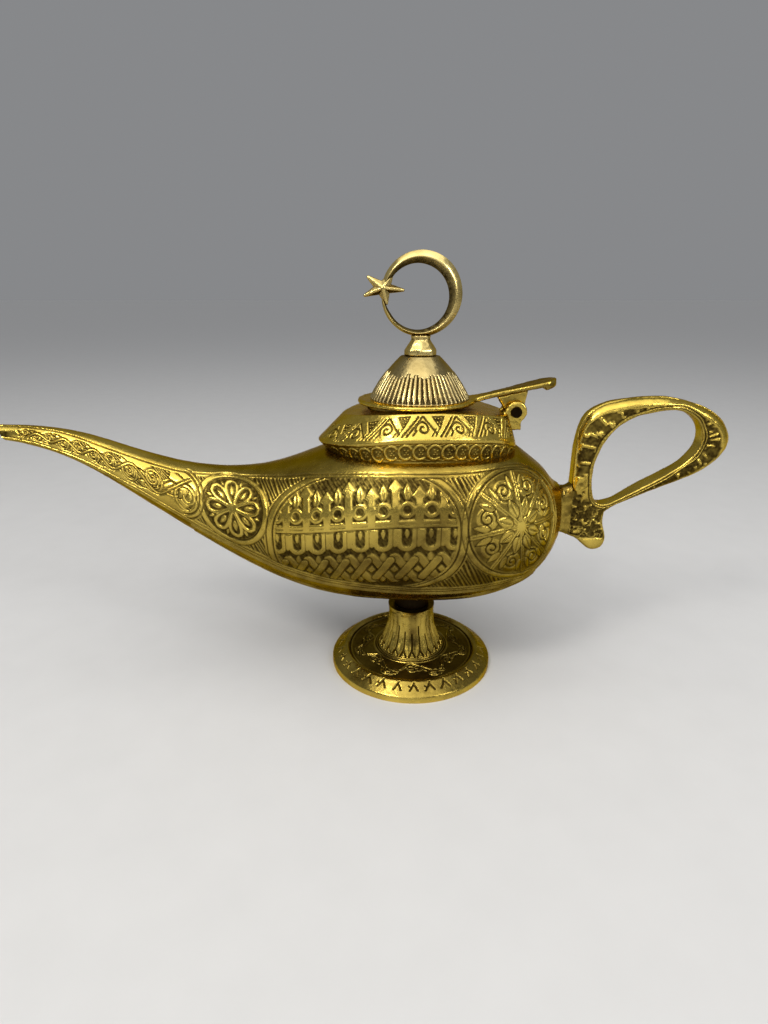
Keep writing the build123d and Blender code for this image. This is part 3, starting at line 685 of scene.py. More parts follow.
def body_skin():
    """The carved skin of the +Y half, and the top and depth of its section at the spout's mouth."""
    panel = Relief((-163, -64), (70, 52), 0.16)
    for carve in (carve_corners, carve_scrolls, carve_rosette, carve_cartouche, carve_roundel, carve_borders):
        carve(panel)
    stations, along = even_stations(BODY_ROWS)
    along = along[:, None]
    grid, above = body_grid(stations, BODY_COLUMNS)
    n = normals(grid)
    n[:, 0, 1] = n[:, -1, 1] = 0
    n /= np.linalg.norm(n, axis=-1, keepdims=True)
    height = panel.sample(np.broadcast_to(along, above.shape), above)
    seat = (grid[..., 2] > SEAT - 0.6) & (grid[..., 0] > -REAR)
    height = np.where(seat, 1, height)
    top, drop = grid[0, :, 2].max(), np.ptp(grid[0, :, 2])

    # Carving and the casting's lumps; the seam stays on the middle plane and the collar's seat is a limit
    edge = (rise(stations, -SPOUT, 1.5) * fall(stations, REAR, 1.5))[:, None]
    lump = 0.07 * noise(grid, 1.3, 3) + 0.22 * noise(grid, 7, 4)
    shift = (-BODY_RELIEF * (1 - height) + lump * (1 - 0.6 * (height > 0.9))) * edge
    grid = grid + n * shift[..., None]
    grid[..., 1] = np.maximum(grid[..., 1], 0)
    grid[:, 0, 1] = grid[:, -1, 1] = 0
    grid[..., 2] = np.where(seat, np.minimum(grid[..., 2], SEAT), grid[..., 2])

    # A dent in the side of the spout's mouth, below its upper lip, painted as dark as the deepest cut as
    # shade of the mouth
    dent = fall(stations, 6.5 - SPOUT, 5)[:, None]
    dent = dent * fall(grid[..., 2], top - 1.7, 0.5) * rise(grid[..., 2], top - 4.3, 0.5)
    height = np.minimum(height, 1 - dent)
    grid = cut_back(grid - n * 0.5 * dent[..., None], top, drop)
    faces = open_to_collar(grid, grid_faces(*above.shape), 1.6, SEAT - 1.5)
    recess = np.maximum(np.clip(1 - height, 0, 1) * edge, dent)
    return (grid, recess, body_shade_and_tarnish(along, above), faces), top, drop


def body_hollow(top, drop):
    """The wall of the hollow, which widens into the spout's mouth."""
    stations, _ = even_stations(HOLLOW_ROWS)
    stations[-1] = REAR - BODY_WALL
    grid, _ = body_grid(stations, HOLLOW_COLUMNS, True)
    near = grid[..., 0] > -REAR
    grid[..., 2] = np.where(near, np.minimum(grid[..., 2], SEAT - 0.4), grid[..., 2])
    grid[0, :, 0] = -SPOUT
    widen = 1 + 0.4 * fall(grid[..., 0], 9 - SPOUT, 9)
    level = grid[..., 2].mean(1)[:, None]
    grid[..., 1] *= widen
    grid[..., 2] = level + (grid[..., 2] - level) * widen
    grid = cut_back(grid, top, drop)
    return grid, 0.95, 0, open_to_collar(grid, grid_faces(*grid.shape[:2], flip=True), 3.0, SEAT - 4)


def mouth_edge():
    """The edge of the body's opening under the collar."""
    inner, outer = boat_side(2.5), boat_side(1.4)
    count = min(len(inner), len(outer))
    levels = ((outer, SEAT), (inner, SEAT), (inner, SEAT - 3.2))
    grid = np.stack([np.column_stack([resample(path, count), np.full(count, z)]) for path, z in levels])
    return sheet(grid, 0.3, wrap=False)


def make_body():
    """Both halves: carved skin, wall of the hollow, spout's lip, edge of the opening and rear end."""
    skin, top, drop = body_skin()
    hollow = body_hollow(top, drop)
    match = np.linspace(0, HOLLOW_COLUMNS - 1, BODY_COLUMNS).round().astype(int)
    lip = sheet(np.stack([skin[0][0], hollow[0][0][match]]), 0.2, wrap=False, flip=True)
    end = sheet(np.stack([skin[0][-1], skin[0][-1] * (1, 0, 1)]), 0.3, wrap=False)
    points, recess, tarnish_and_shade, faces = join([skin, hollow, lip, mouth_edge(), end])
    for name, side, node in (("body_far", 1, "body_right_shell"), ("body_near", -1, "body_left_shell")):
        half = (points * (1, side, 1), recess, tarnish_and_shade, faces[:, ::-side])
        add_mesh(name, [half], "base", node, ENGRAVED)


# Collar

def boat_radius(theta, front, rear, half):
    """Distance of a boat's outline from the axis in each direction."""
    x, y = boat_half(front, rear, half)[::-1].T
    return np.interp(np.abs(theta), np.arctan2(y, x), np.hypot(x, y))


def carve_roof():
    """The band above the ridge, along the ridge from the side's middle: chevrons, scrolls and beads."""
    roof = Relief((-56, -1), (56, 15), 0.1)
    a, b = roof.grid
    low, high, pitch = 1.5, 8.2, 13.2
    for k in range(-4, 5):
        u = k * pitch + 1.2
        for shift in (0.0, 1.5):
            roof.groove([(u - pitch / 2 + shift, low), (u - 1.0 + shift, high)], 0.8, 0.95)
        roof.groove([(u + 1.0, high), (u + pitch / 2 - 1.2, low + 0.9)], 0.7, 0.95)
        roof.groove(spiral(u + 0.6, 4.1, 2.8, 0.5, 200, -1.35), 0.8, 0.95)
        roof.groove([(u - 2.9, low + 0.3), (u - 1.7, low + 1.9)], 0.7, 0.9)
        x = u + pitch / 2 + 0.2
        triangle = (b < high + 0.3) & (np.abs(a - x) < 2.6 * (b - high + 4.2) / 4.5)
        roof.h = np.where(triangle, 0.05, roof.h)
        for i, j in ((-1.2, 0.8), (0, 1.0), (1.2, 0.8), (-0.5, 2.3), (0.6, 2.2), (0, 3.3)):
            roof.shape(ring(x + i, high - j + 0.5, 0.42, count=10), 0.8, 0.25)
        for shift in (0.0, 1.25):
            roof.groove([(x - 3.2 + shift, low + 0.1), (x - 1.6 + shift, low + 2.6)], 0.5, 0.9)
    roof.h = np.where((b < low - 0.3) | (b > high + 0.6) | (a > 47) | (a < -45), 1, roof.h)
    roof.groove([(44.5, low - 0.2), (45.6, 4.5), (44.5, high)], 0.6, 0.9)
    for x in (41.0, 42.2, 43.3):
        roof.groove([(x - 0.8, low + 0.2), (x, high - 0.6)], 0.5, 0.9)
    return roof


def carve_rope():
    """The band below the ridge: open rings with beads in them, linked in a row."""
    rope = Relief((-56, -12), (56, 1), 0.1)
    rope.ground(fall(rope.grid[1], -0.9, 1), 0.36)
    for k in range(-10, 11):
        x = 5.0 * k + 0.8
        rope.strap(ring(x, -4.4, 2.3, 25, 285, 30, 1.12), 1.1, rim=0.3)
        for i, j in ((0.2, -4.4), (0.9, -3.7), (-0.3, -3.5), (-0.2, -5.2), (0.8, -5.1)):
            rope.shape(ring(x + i, j, 0.36, count=10), 0.85, 0.2)
        rope.strap([(x + 1.2, -2.1), (x + 2.9, -1.5), (x + 4.3, -2.4)], 0.6, 0.9)
        rope.strap([(x - 3.6, -6.9), (x - 1.9, -7.4), (x + 0.2, -6.8)], 0.6, 0.8)
    rope.strap([(-56, -8.3), (56, -8.3)], 0.7, 0.8)
    return rope


ARCH, ARCH_RADIUS = circle(*np.array([(-25.6, DECK - 3.3), (0.6, DECK), (33.4, DECK - 3.5)]))
NOTCH_HALF, NOTCH_REAR, NOTCH_FLOOR = 4.98, 30.9, 95.55


def deck_height(x):
    """Height of the arched deck."""
    return ARCH[1] + np.sqrt(np.maximum(ARCH_RADIUS ** 2 - (x - ARCH[0]) ** 2, 0))


def collar_shell(theta, inset, levels):
    """Heights up the collar, and the radius at each of them in each direction: a wall that flares to the
    ridge, and a roof that leans in from it."""
    z = np.linspace(0, DECK - SEAT, levels)
    front, rear, half = COLLAR_FRONT - inset, COLLAR_REAR - inset, COLLAR_HALF - inset
    wall = [boat_radius(theta, front + d, rear + 0.1 * d, half + 0.25 * d) for d in z]
    roof = [boat_radius(theta, front + 6.6 - d, rear + 0.6 - 0.3 * d, half + 7.7 - 0.673 * d) for d in z]
    return SEAT + z, np.minimum(wall, roof)


def to_deck(z, r, c, depth=0.0):
    """The shell's profile in a direction of cosine c, up to the deck or to a depth below it."""
    stop = np.argmax(z > deck_height(r * c) - depth) or len(z)
    return np.column_stack([r[:stop], z[:stop]])


def notched(points):
    """Lowers what lies under the hinge bracket to the bracket's seat."""
    under = (np.abs(points[..., 1]) < NOTCH_HALF) & (points[..., 0] > NOTCH_REAR)
    points[..., 2] = np.where(under, np.minimum(points[..., 2], NOTCH_FLOOR), points[..., 2])
    return points


def collar_outside(theta, mouth):
    """The carved outside, from the seat over the ridge and the deck to the mouth."""
    z, r = collar_shell(theta, 0, 160)
    profiles = []
    for i, c in enumerate(np.cos(theta)):
        wall = to_deck(z, r[:, i], c)
        reach = np.linspace(wall[-1, 0], mouth[i], 14)
        deck = np.column_stack([reach, deck_height(reach * c)])
        profiles.append(resample(np.vstack([wall, deck]), COLLAR_COLUMNS))
    profiles = np.array(profiles)
    ridge = profiles[..., 0].argmax(1)
    step = np.linalg.norm(profiles[:, 1] - profiles[:, 0], axis=1)
    for _ in range(10):
        profiles[:, 1:-1] = (profiles[:, :-2] + 2 * profiles[:, 1:-1] + profiles[:, 2:]) / 4
    above = (np.arange(COLLAR_COLUMNS) - ridge[:, None]) * step[:, None]
    radius, level = profiles[..., 0], profiles[..., 1]
    points = np.stack([radius * np.cos(theta)[:, None], radius * np.sin(theta)[:, None], level], -1)

    # Carving, measured along the ridge from the middle of each side
    along = lengths(points[np.arange(COLLAR_ROWS), ridge])
    near, far = (along[np.argmin(np.abs(theta - way * math.pi / 2))] for way in (-1, 1))
    u = np.where(theta < 0, along - near, far - along)[:, None] * np.ones_like(above)
    height = np.where(above > 0, carve_roof().sample(u, above), carve_rope().sample(u, above))
    height = np.where((above > 11.0) | (above < -9.5), 1, height)
    fade = fall(above, above.max(1, keepdims=True), 1.0)
    lump = 0.06 * noise(points, 1.6, 8) + 0.08 * noise(points, 7, 9)
    shift = (-COLLAR_RELIEF * (1 - height) + lump) * fade * rise(level, SEAT, 0.8)
    points = notched(points + normals(points, True) * shift[..., None])
    # Below the ridge the metal is a little browner: painted shade under the ridge
    return sheet(points, (1 - height) * fade, np.where(above < -0.8, 0.06, 0.02))


def collar_lining(theta, mouth):
    """The inside, from the seat's edge up the wall and under the deck to the mouth."""
    base = boat_radius(theta, COLLAR_FRONT, COLLAR_REAR, COLLAR_HALF)
    z, r = collar_shell(theta, COLLAR_WALL, 30)
    lining = []
    for j in range(0, COLLAR_ROWS, 4):
        c, s = math.cos(theta[j]), math.sin(theta[j])
        wall = resample(to_deck(z, r[:, j], c, DECK_WALL), 12)
        reach = np.linspace(wall[-1, 0], mouth[j], 8)[1:]
        under = np.column_stack([reach, deck_height(reach * c) - DECK_WALL])
        path = np.vstack([[(base[j], SEAT)], wall, under, [(mouth[j], deck_height(mouth[j] * c))]])
        lining.append(np.column_stack([path[:, 0] * c, path[:, 0] * s, path[:, 1]]))
    return sheet(notched(np.array(lining)), 0.6, flip=True)


def make_collar():
    """The collar with its open mouth."""
    theta = np.linspace(-math.pi, math.pi, COLLAR_ROWS, endpoint=False)
    mouth = MOUTH_AXIS * np.cos(theta) + np.sqrt(MOUTH_RADIUS ** 2 - (MOUTH_AXIS * np.sin(theta)) ** 2)
    parts = [collar_outside(theta, mouth), collar_lining(theta, mouth)]
    add_mesh("collar", parts, "base", "neck_collar", ENGRAVED)


# Turned pieces

def turn(profile, x, count):
    """Angles and points of a profile of radius and height, turned about an upright axis at x."""
    t = np.linspace(-math.pi, math.pi, count, endpoint=False)
    p = np.asarray(profile)
    grid = np.stack([x + p[None, :, 0] * np.cos(t)[:, None], p[None, :, 0] * np.sin(t)[:, None],
                     np.broadcast_to(p[None, :, 1], (count, len(p)))], -1)
    return t[:, None], grid


# Radii at which the foot's ornament is unrolled, and the number of petals up its stem
BAND_RADIUS, VINE_RADIUS, STEM_RADIUS = 28.5, 19.5, 12.3
PETALS = 22


def wrapped(radius, low, high):
    """A panel that goes once round at a radius."""
    return Relief((-math.pi * radius, low), (math.pi * radius, high), 0.12)


def carve_band(at):
    """Arrow marks inside the rim; at gives the length along the foot's profile at a radius."""
    band = wrapped(BAND_RADIUS, at(32) - 1, at(24.5))
    marks, start = 30, at(31.0)
    for k in range(marks):
        x = (k - marks / 2 + 0.5) * 2 * math.pi * BAND_RADIUS / marks
        tall = 1.0 + 0.15 * math.sin(5 * k)
        left = [(x - 1.6 * tall, start + 1.5), (x - 0.5, start + 3.2), (x + 0.2, start + 4.6)]
        right = [(x + 1.5 * tall, start + 1.6), (x + 0.7, start + 3.1), (x, start + 3.9)]
        for stroke in (left, right):
            band.groove(stroke, 0.62, 0.97)
        if k % 3:
            band.groove([(x - 1.9, start + 3.3), (x - 1.0, start + 2.5)], 0.45, 0.85)
    return band


def carve_vine(at):
    """Two stems that wave round the ring, with a scroll and leaves in each bend."""
    vine = wrapped(VINE_RADIUS, at(25.4), at(13.0))
    low, high = at(24.6), at(14.8)
    vine.ground(rise(vine.grid[1], low + 0.3, 0.4) * fall(vine.grid[1], high - 0.2, 0.4), 0.42)
    waves, mid, swing, edge = 7, (low + high) / 2, (high - low) / 2 - 2.2, math.pi * VINE_RADIUS
    x = np.linspace(-edge, edge, 500)
    wave = np.sin(waves * x / VINE_RADIUS) + 0.22 * np.sin(2 * waves * x / VINE_RADIUS + 0.6)
    vine.strap(np.column_stack([x, mid + swing * wave]), 0.8, rim=0.4)
    vine.strap(np.column_stack([x + 0.5, mid + swing * wave + 1.6]), 0.8, rim=0.3)
    for k in range(2 * waves):
        side = 1 if k % 2 == 0 else -1
        x0, y0 = -edge + (k + 0.5) * edge / waves, mid - side * 0.55 * swing
        vine.strap(spiral(x0 - 0.6, y0, 2.4, 0.5, 90 + 60 * side, side * 1.2), 0.8, rim=0.3)
        for lean, size in ((20, 0.9), (-25, 0.7), (160, 0.8)):
            outline = leaf(x0 + 0.8, y0, lean * side, 4.0 * size, 1.9 * size, 0.4 * side)
            vine.shape(outline, 0.95, 0.3, 0.35, 0.2)
    for radius in (24.8, 14.3, 13.5):
        vine.groove([(-edge, at(radius)), (edge, at(radius))], 0.6, 0.9)
    return vine


def carve_petals(root, end):
    """Petals up the stem, parted by long cuts that fork at their lower ends."""
    stem = wrapped(STEM_RADIUS, root - 1, end + 1)
    for k in range(PETALS):
        x = (k - PETALS / 2 + 0.5) * 2 * math.pi * STEM_RADIUS / PETALS
        tall = 10.5 + 2.0 * math.sin(2.4 * k)
        stem.groove([(x, root + 2.7), (x + 0.15, root + 6), (x, root + tall)], 0.75, 0.95)
        for lean in (-1.15, 1.15):
            stem.groove([(x, root + 2.9), (x + lean, root + 0.6)], 0.75, 0.95)
    return stem


def foot_profile():
    """The foot's outside from its rim to the top of its stem."""
    stem_z = np.linspace(6.5, 24.6, 80)
    stem = spline(np.array([6.5, 12.0, 17.5, 24.6]), np.array([[12.8], [10.35], [8.9], [9.2]]), stem_z)
    rounded = [(31.0 + math.sin(a), 1.8 + math.cos(a)) for a in np.radians([75, 60, 45, 30])]
    path = np.array([(32.0, 0.0), (32.0, 1.8), *rounded, (31.2, 2.9), (27.2, 6.0), (26.5, 6.3), (25.7, 6.0),
                     (25.1, 5.2), (24.6, 5.0), (14.6, 6.3), (12.9, 6.6)])
    path = np.vstack([path, np.column_stack([stem, stem_z])[1:]])
    path = smooth(resample(path, 340), 6)
    path[0] = (32.0, 0.0)
    return path


def make_foot():
    """The foot: a rim, a band of arrow marks, a ring of vine and a fluted stem, hollow below."""
    path = foot_profile()
    angle, grid = turn(path, 0, FOOT_ROWS)
    s = lengths(path)

    def at(radius):
        """Length along the profile where the foot, outside the stem's waist, has a radius."""
        return np.interp(-radius, -path[:260, 0], s[:260])

    root, end = at(13.0), s[-1]
    band = carve_band(at).sample(angle * BAND_RADIUS, s)
    vine = carve_vine(at).sample(angle * VINE_RADIUS, s)
    petals = carve_petals(root, end).sample(angle * STEM_RADIUS, s)
    height = np.where(s < at(25.4), band, np.where(s < at(13.1), vine, 1))
    recess = np.maximum(1 - height, np.where(s > root, 1 - petals, 0))

    # Round backs of the petals, and lumps of the casting
    cell = np.abs((angle * PETALS / (2 * math.pi)) % 1 - 0.5) * 2
    back = 0.30 * (1 - cell ** 2) * fall(s, end - 2.5, 2.5) * rise(s, root + 0.5, 3)
    lump = 0.06 * noise(grid, 1.8, 12) + 0.1 * noise(grid, 8, 13)
    hold = rise(s, 0, 1.2) * fall(s, end, 0.8)
    grid = grid + normals(grid, True) * ((-FOOT_RELIEF * recess + back + lump) * hold)[..., None]

    # Painted reflection and shade: dark streaks down the stem, a darker upper stem, and a little shade on the
    # ring
    waist = at(12.9)
    painted_streaks = rise(s, waist + 8, 8) * 0.25
    for place, wide, much in ((-1.50, 0.20, 0.75), (-2.25, 0.12, 0.35), (-0.75, 0.14, 0.45)):
        painted_streaks = painted_streaks + much * np.exp(-((angle - place) / wide) ** 2) * rise(s, waist + 3, 3)
    tarnish_and_shade = np.where((s > at(25.3)) & (s < at(13.2)), 0.12, painted_streaks)
    below = [(9.2, 24.6), (3.3, 24.6), (3.3, 21.6), (6.7, 21.6), (6.7, 15.3), (7.2, 12.5), (8.15, 9.8),
             (9.3, 7.0), (10.6, 4.3), (25.2, 2.7), (29.8, 0.0), (32.0, 0.0)]
    parts = [sheet(grid, recess, tarnish_and_shade, flip=True), sheet(turn(below, 0, FOOT_ROWS)[1], 0.5, flip=True)]
    add_mesh("foot_cast", parts, "base", "foot", ENGRAVED)


def make_dome():
    """The dome: a convex cone with ribs on its lower part, and its hollow."""
    base_radius, top_radius, bore, wall = 17.6, 6.8, 1.95, 1.6
    foot, waist, head = np.array([(base_radius, 0.0), (11.9, 0.62 * DOME_HEIGHT), (top_radius, DOME_HEIGHT)])
    centre, radius = circle(foot, waist, head)
    angle = np.linspace(*np.unwrap([math.atan2(*(p - centre)[::-1]) for p in (foot, head)]), 90)
    way = np.column_stack([np.cos(angle), np.sin(angle)])
    centre = centre + (0, DOME_BASE)
    t, grid = turn(centre + radius * way, LID_AXIS, DOME_ROWS)
    up = np.linspace(0, 1, 90)
    ribs = 56
    cell = np.abs((t * ribs / (2 * math.pi)) % 1 - 0.5) * 2
    number = np.floor(t * ribs / (2 * math.pi)).astype(int) % 200
    top = (0.57 + 0.06 * np.random.default_rng(5).uniform(-1, 1, 200))[number]
    ribbed = (up > 0.015) & (up < top)
    groove = rise(cell + 0.5 * fall(up, 0.14, 0.14), 0.54, 0.3) * ribbed
    end = fall(np.abs(up - top), 0.02, 0.02) * (cell > 0.45)
    recess = np.maximum(groove, 0.9 * end)
    lump = 0.05 * noise(grid, 1.5, 20) + 0.07 * noise(grid, 6, 21)
    back = 0.18 * (1 - cell ** 2) * ribbed
    hold = rise(up, 0, 0.02) * fall(up, 1, 0.03)
    shift = (-DOME_RELIEF * recess + back + lump) * hold
    grid = grid + normals(grid, True, LID_AXIS) * shift[..., None]
    arch = centre + (radius - wall) * way[::-6]
    arch = arch[(arch[:, 1] < DOME_TOP - wall) & (arch[:, 1] > DOME_BASE + 0.1)]
    ceiling = [(bore, DOME_TOP - wall), (top_radius - wall, DOME_TOP - wall)]
    floor = [(base_radius - wall, DOME_BASE), (base_radius, DOME_BASE)]
    below = np.vstack([[(top_radius, DOME_TOP), (bore, DOME_TOP)], ceiling, arch, floor])
    parts = [sheet(grid, recess, flip=True), sheet(turn(below, LID_AXIS, DOME_ROWS)[1], 0.5, flip=True)]
    add_mesh("dome", parts, "lid", "lid_dome", LID)


# Small castings

def make_crescent():
    """A ring of diamond section with a sharp ridge, open at the star, where its horns taper."""
    centre, hole = np.array([LID_AXIS, 141.0]), np.array([0.5, 140.1])
    outer_radius, hole_radius, rows = 13.7, 10.6, 300
    angle = np.radians(np.linspace(-172, 176, rows))
    way = np.column_stack([np.cos(angle), np.sin(angle)])
    out = centre + outer_radius * way
    back = centre - hole
    lean = way @ back
    inner = centre + way * (np.sqrt(lean ** 2 - back @ back + hole_radius ** 2) - lean)[:, None]
    from_end = np.minimum(np.arange(rows), rows - 1 - np.arange(rows)) / (rows - 1)
    taper = np.clip(from_end / 0.07, 0, 1) ** 0.6
    width = np.linalg.norm(out - inner, axis=1) * (0.45 + 0.55 * taper)
    inner = out - way * width[:, None]
    out = out - way * (0.15 * width * (1 - taper))[:, None]
    thick = 2.5 * (0.35 + 0.65 * taper)

    # Share of the way in, share of the thickness, and painted shade: none on the outer facets, more on the
    # inner ones
    section = [(0.0, 0.30, 0.25), (0.06, 0.42, 0.05), (0.25, 0.70, 0), (0.46, 0.98, 0), (0.52, 1.0, 0.05),
               (0.58, 0.93, 0.55), (0.78, 0.68, 0.75), (0.95, 0.47, 0.85), (1.0, 0.36, 0.95)]
    loop = [(f, -y, dark) for f, y, dark in section] + section[::-1]
    loop.append(loop[0])
    grid = np.zeros((rows, len(loop), 3))
    for j, (f, y, _) in enumerate(loop):
        p = out + (inner - out) * f
        grid[:, j] = np.column_stack([p[:, 0], y * thick, p[:, 1]])
    core = (out + inner) / 2
    n = grid - np.column_stack([core[:, 0], np.zeros(rows), core[:, 1]])[:, None]
    n /= np.linalg.norm(n, axis=-1, keepdims=True)
    lump = 0.02 * noise(grid, 1.6, 31) + 0.06 * noise(grid, 5, 32)
    grid = grid + n * lump[..., None]
    grid[:, -1] = grid[:, 0]
    grid[..., 2] = np.maximum(grid[..., 2], 127.72)
    parts = [sheet(grid, [dark for _, _, dark in loop], 0.05, wrap=False)]
    parts += [cap(grid[row, :-1], 0.1, 0.05, row == 0) for row in (0, -1)]
    add_mesh("crescent", parts, "lid", "finial_crescent", FINIAL)


def relax(points, faces, rounds):
    """Evens out a closed mesh, which rounds its edges and corners."""
    count = np.bincount(faces.ravel(), minlength=len(points)) * 2
    for _ in range(rounds):
        total = np.zeros(points.shape)
        for shift in (1, -1):
            near = points[np.roll(faces, shift, 1)].reshape(-1, 3)
            for k in range(3):
                total[:, k] += np.bincount(faces.ravel(), near[:, k], len(points))
        points = 0.5 * points + 0.5 * total / count[:, None]
    return points


def point_normals(points, faces):
    """Unit normals of a mesh's points."""
    p = points[faces]
    way = np.cross(p[:, 2] - p[:, 0], p[:, 3] - p[:, 1])
    n = np.stack([np.bincount(faces.ravel(), np.repeat(way[:, k], 4), len(points)) for k in range(3)], 1)
    return n / np.maximum(np.linalg.norm(n, axis=1, keepdims=True), 1e-12)


def remeshed(node, voxel, rounds):
    """Points, faces and normals of a CAD node's shape in even small faces, with rounded edges, and how
    hollow each place is: above 0 in corners, below 0 on edges."""
    copy = bpy.data.objects.new(node + "_fine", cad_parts[node].data.copy())
    bpy.context.scene.collection.objects.link(copy)
    tool = copy.modifiers.new("remesh", "REMESH")
    tool.mode, tool.voxel_size = "VOXEL", voxel * MM
    graph = bpy.context.evaluated_depsgraph_get()
    mesh = bpy.data.meshes.new_from_object(copy.evaluated_get(graph), depsgraph=graph)
    points = np.zeros(len(mesh.vertices) * 3)
    mesh.vertices.foreach_get("co", points)
    faces = np.zeros(len(mesh.loops), np.int32)
    mesh.loops.foreach_get("vertex_index", faces)
    faces = faces.reshape(-1, 4)
    bpy.data.objects.remove(copy)
    points = relax(points.reshape(-1, 3) / MM, faces, rounds)
    n = point_normals(points, faces)
    hollow = ((relax(points, faces, 16) - points) * n).sum(1)
    return points, faces, n, hollow


def make_cast(name, node, body, material, voxel, rounds, lump, age, grow=0.0, painted_shade_from=None):
    """A small casting: the node's own shape with rounded edges, an uneven skin, worn edges and dark
    corners; from the x given last, if any, it browns with painted shade."""
    points, faces, n, hollow = remeshed(node, voxel, rounds)
    points = points + grow * n
    uneven = noise(points, 1.1, len(name)) + noise(points, 3.5, 7 + len(name))
    recess = np.clip(hollow / (0.35 * voxel) - 0.1, 0, 0.8) + 0.25 * rise(uneven, 0.35, 1)
    tarnish_and_shade = age + 0.12 * uneven - np.clip(-hollow / (0.5 * voxel), 0, 1) * 0.35
    # Painted shade on the part beyond that x
    if painted_shade_from is not None:
        tarnish_and_shade = tarnish_and_shade + 0.6 * rise(points[:, 0], painted_shade_from, 5)
    points = points + n * (lump * uneven)[:, None]
    part = (points, np.clip(recess, 0, 1), np.clip(tarnish_and_shade, 0, 1), faces)
    add_mesh(name, [part], body, node, material)


def make_saddle():
    """The web between the body's end and the handle: a soft waist that flares to both."""
    places = np.array([50.8, 53.6, 56.0, 58.7])
    half_sizes = np.array([[11.3, 8.6], [9.7, 5.6], [9.1, 4.1], [10.2, 4.7]])
    x = np.linspace(places[0], places[-1], 70)
    tall, wide = spline(places, half_sizes, x).T
    t = np.linspace(0, 2 * math.pi, 200, endpoint=False)[:, None]
    y = np.sign(np.cos(t)) * np.abs(np.cos(t)) ** 0.75 * wide
    z = 64.6 + np.sign(np.sin(t)) * np.abs(np.sin(t)) ** 0.62 * tall
    grid = np.stack([np.broadcast_to(x, y.shape), y, z], -1)
    uneven = noise(grid, 1.5, 61) + noise(grid, 4, 62)
    grid = grid + normals(grid, True, x.mean()) * (0.13 * uneven)[..., None]
    # Darker metal in mottles, most of all towards the body's end
    darkening = np.clip(0.25 + 0.35 * uneven + 0.5 * fall(x, 54.3, 1.2), 0, 0.85)
    parts = [sheet(grid, darkening, 0.34, flip=True)]
    parts += [cap(grid[:, column], 0.5, 0.34, column == -1) for column in (0, -1)]
    add_mesh("saddle_cast", parts, "base", "handle_saddle", ENGRAVED)


# The handle's outline and its eye, as shares of its length and height
LOOP_SHARES = [(0.000, 0.487), (0.000, 0.640), (0.012, 0.789), (0.060, 0.900), (0.150, 0.955), (0.327, 0.990),
               (0.520, 1.000), (0.700, 0.972), (0.860, 0.912), (0.968, 0.815), (1.000, 0.715), (0.975, 0.643),
               (0.892, 0.557), (0.706, 0.465), (0.516, 0.388), (0.340, 0.315), (0.247, 0.255)]
EYE_SHARES = [(0.148, 0.380), (0.134, 0.560), (0.182, 0.714), (0.310, 0.850), (0.500, 0.908), (0.650, 0.915),
              (0.755, 0.862), (0.812, 0.757), (0.778, 0.648), (0.597, 0.511), (0.412, 0.408), (0.250, 0.324),
              (0.185, 0.325)]


def carve_handle():
    """Heights over the handle's side view, and each place's distance from the outer rim."""
    corner, size = np.array([HANDLE_FRONT, 48.59]), np.array([55.4, 58.3])
    outer = smooth(resample(np.array(LOOP_SHARES) * size + corner, 200), 20)
    eye = smooth(resample(np.array(EYE_SHARES) * size + corner, 200, True), 10, True)
    relief, to_rim = Relief((57, 47), (116, 109), 0.15), Relief((57, 47), (116, 109), 0.15)
    a, b = relief.grid
    spot = np.stack([a, np.zeros(a.shape), b], -1)

    def distance(path, closed=False):
        d = np.full(a.shape, 12.0)
        box, part = relief.distance(path, 12.0, closed)
        d[box] = part
        return d

    to_eye, to_rim.h = distance(eye, True), distance(outer)
    nearest = eye[np.linalg.norm(outer[::2, None] - eye[None], axis=2).argmin(1)]
    middle = smooth((outer[::2] + nearest) / 2, 12)
    run = lengths(middle)
    along = np.zeros(a.shape)
    for i in range(len(a)):
        along[i] = run[np.hypot(a[i][:, None] - middle[:, 0], b[i][:, None] - middle[:, 1]).argmin(1)]
    across = to_eye / (to_eye + to_rim.h)

    # Worn strokes that cross the band, far apart on the post and close on the end and the lower arm
    wander = noise(spot, 4.5, 45)
    count = np.interp(along, [0, 34, 60, 75, run[-1]], [0, 6, 14, 21, 34])
    waver = 0.30 * wander + 0.10 * noise(spot, 1.5, 51)
    stroke = 0.5 + 0.5 * np.cos(2 * math.pi * (count + 0.45 * (across - 0.5) + waver))
    broken = np.clip(1.05 + 0.9 * noise(spot, 3.0, 46), 0.1, 1)
    ground = np.interp(along, [25, 45], [0.32, 0.20]) + 0.30 * noise(spot, 1.6, 47)
    relief.h = np.clip(np.maximum(ground, rise(stroke, 0.76, 0.14) * broken), 0, 1)

    # Leaf below the loop: rugged ridges across it, and a smooth lobe at its foot
    below = fall(b, 70.5 - 0.25 * (a - 60), 1.5)
    squashed = spot * (1, 1, 1.7)
    threads = np.minimum(np.abs(noise(squashed, 2.6, 48)), np.abs(noise(squashed, 1.7, 49)) + 0.06)
    crust = np.clip(1.15 - threads / 0.16, 0.08, 1)
    relief.h = relief.h * (1 - below) + below * crust
    lobe = fall(b, 54.6 + 1.2 * wander, 0.8)
    relief.h = relief.h * (1 - lobe) + lobe

    # Polished rim, broad on the loop's top and end, and two lines round the eye
    slant = b + 0.25 * (a - HANDLE_FRONT)
    broad = np.interp(slant, [84, 98, 104], [0.9, 1.9, 3.6]) + 0.5 * noise(spot, 2.2, 50)
    relief.h = np.maximum(relief.h, fall(to_rim.h, broad, 0.5) * (1 - below))
    relief.h = np.where(to_eye < 1.9, 1, relief.h)
    for r, w in ((1.95, 0.55), (1.0, 0.45)):
        relief.h = np.where(np.abs(to_eye - r) < w / 2, 0.15, relief.h)
    return relief, to_rim


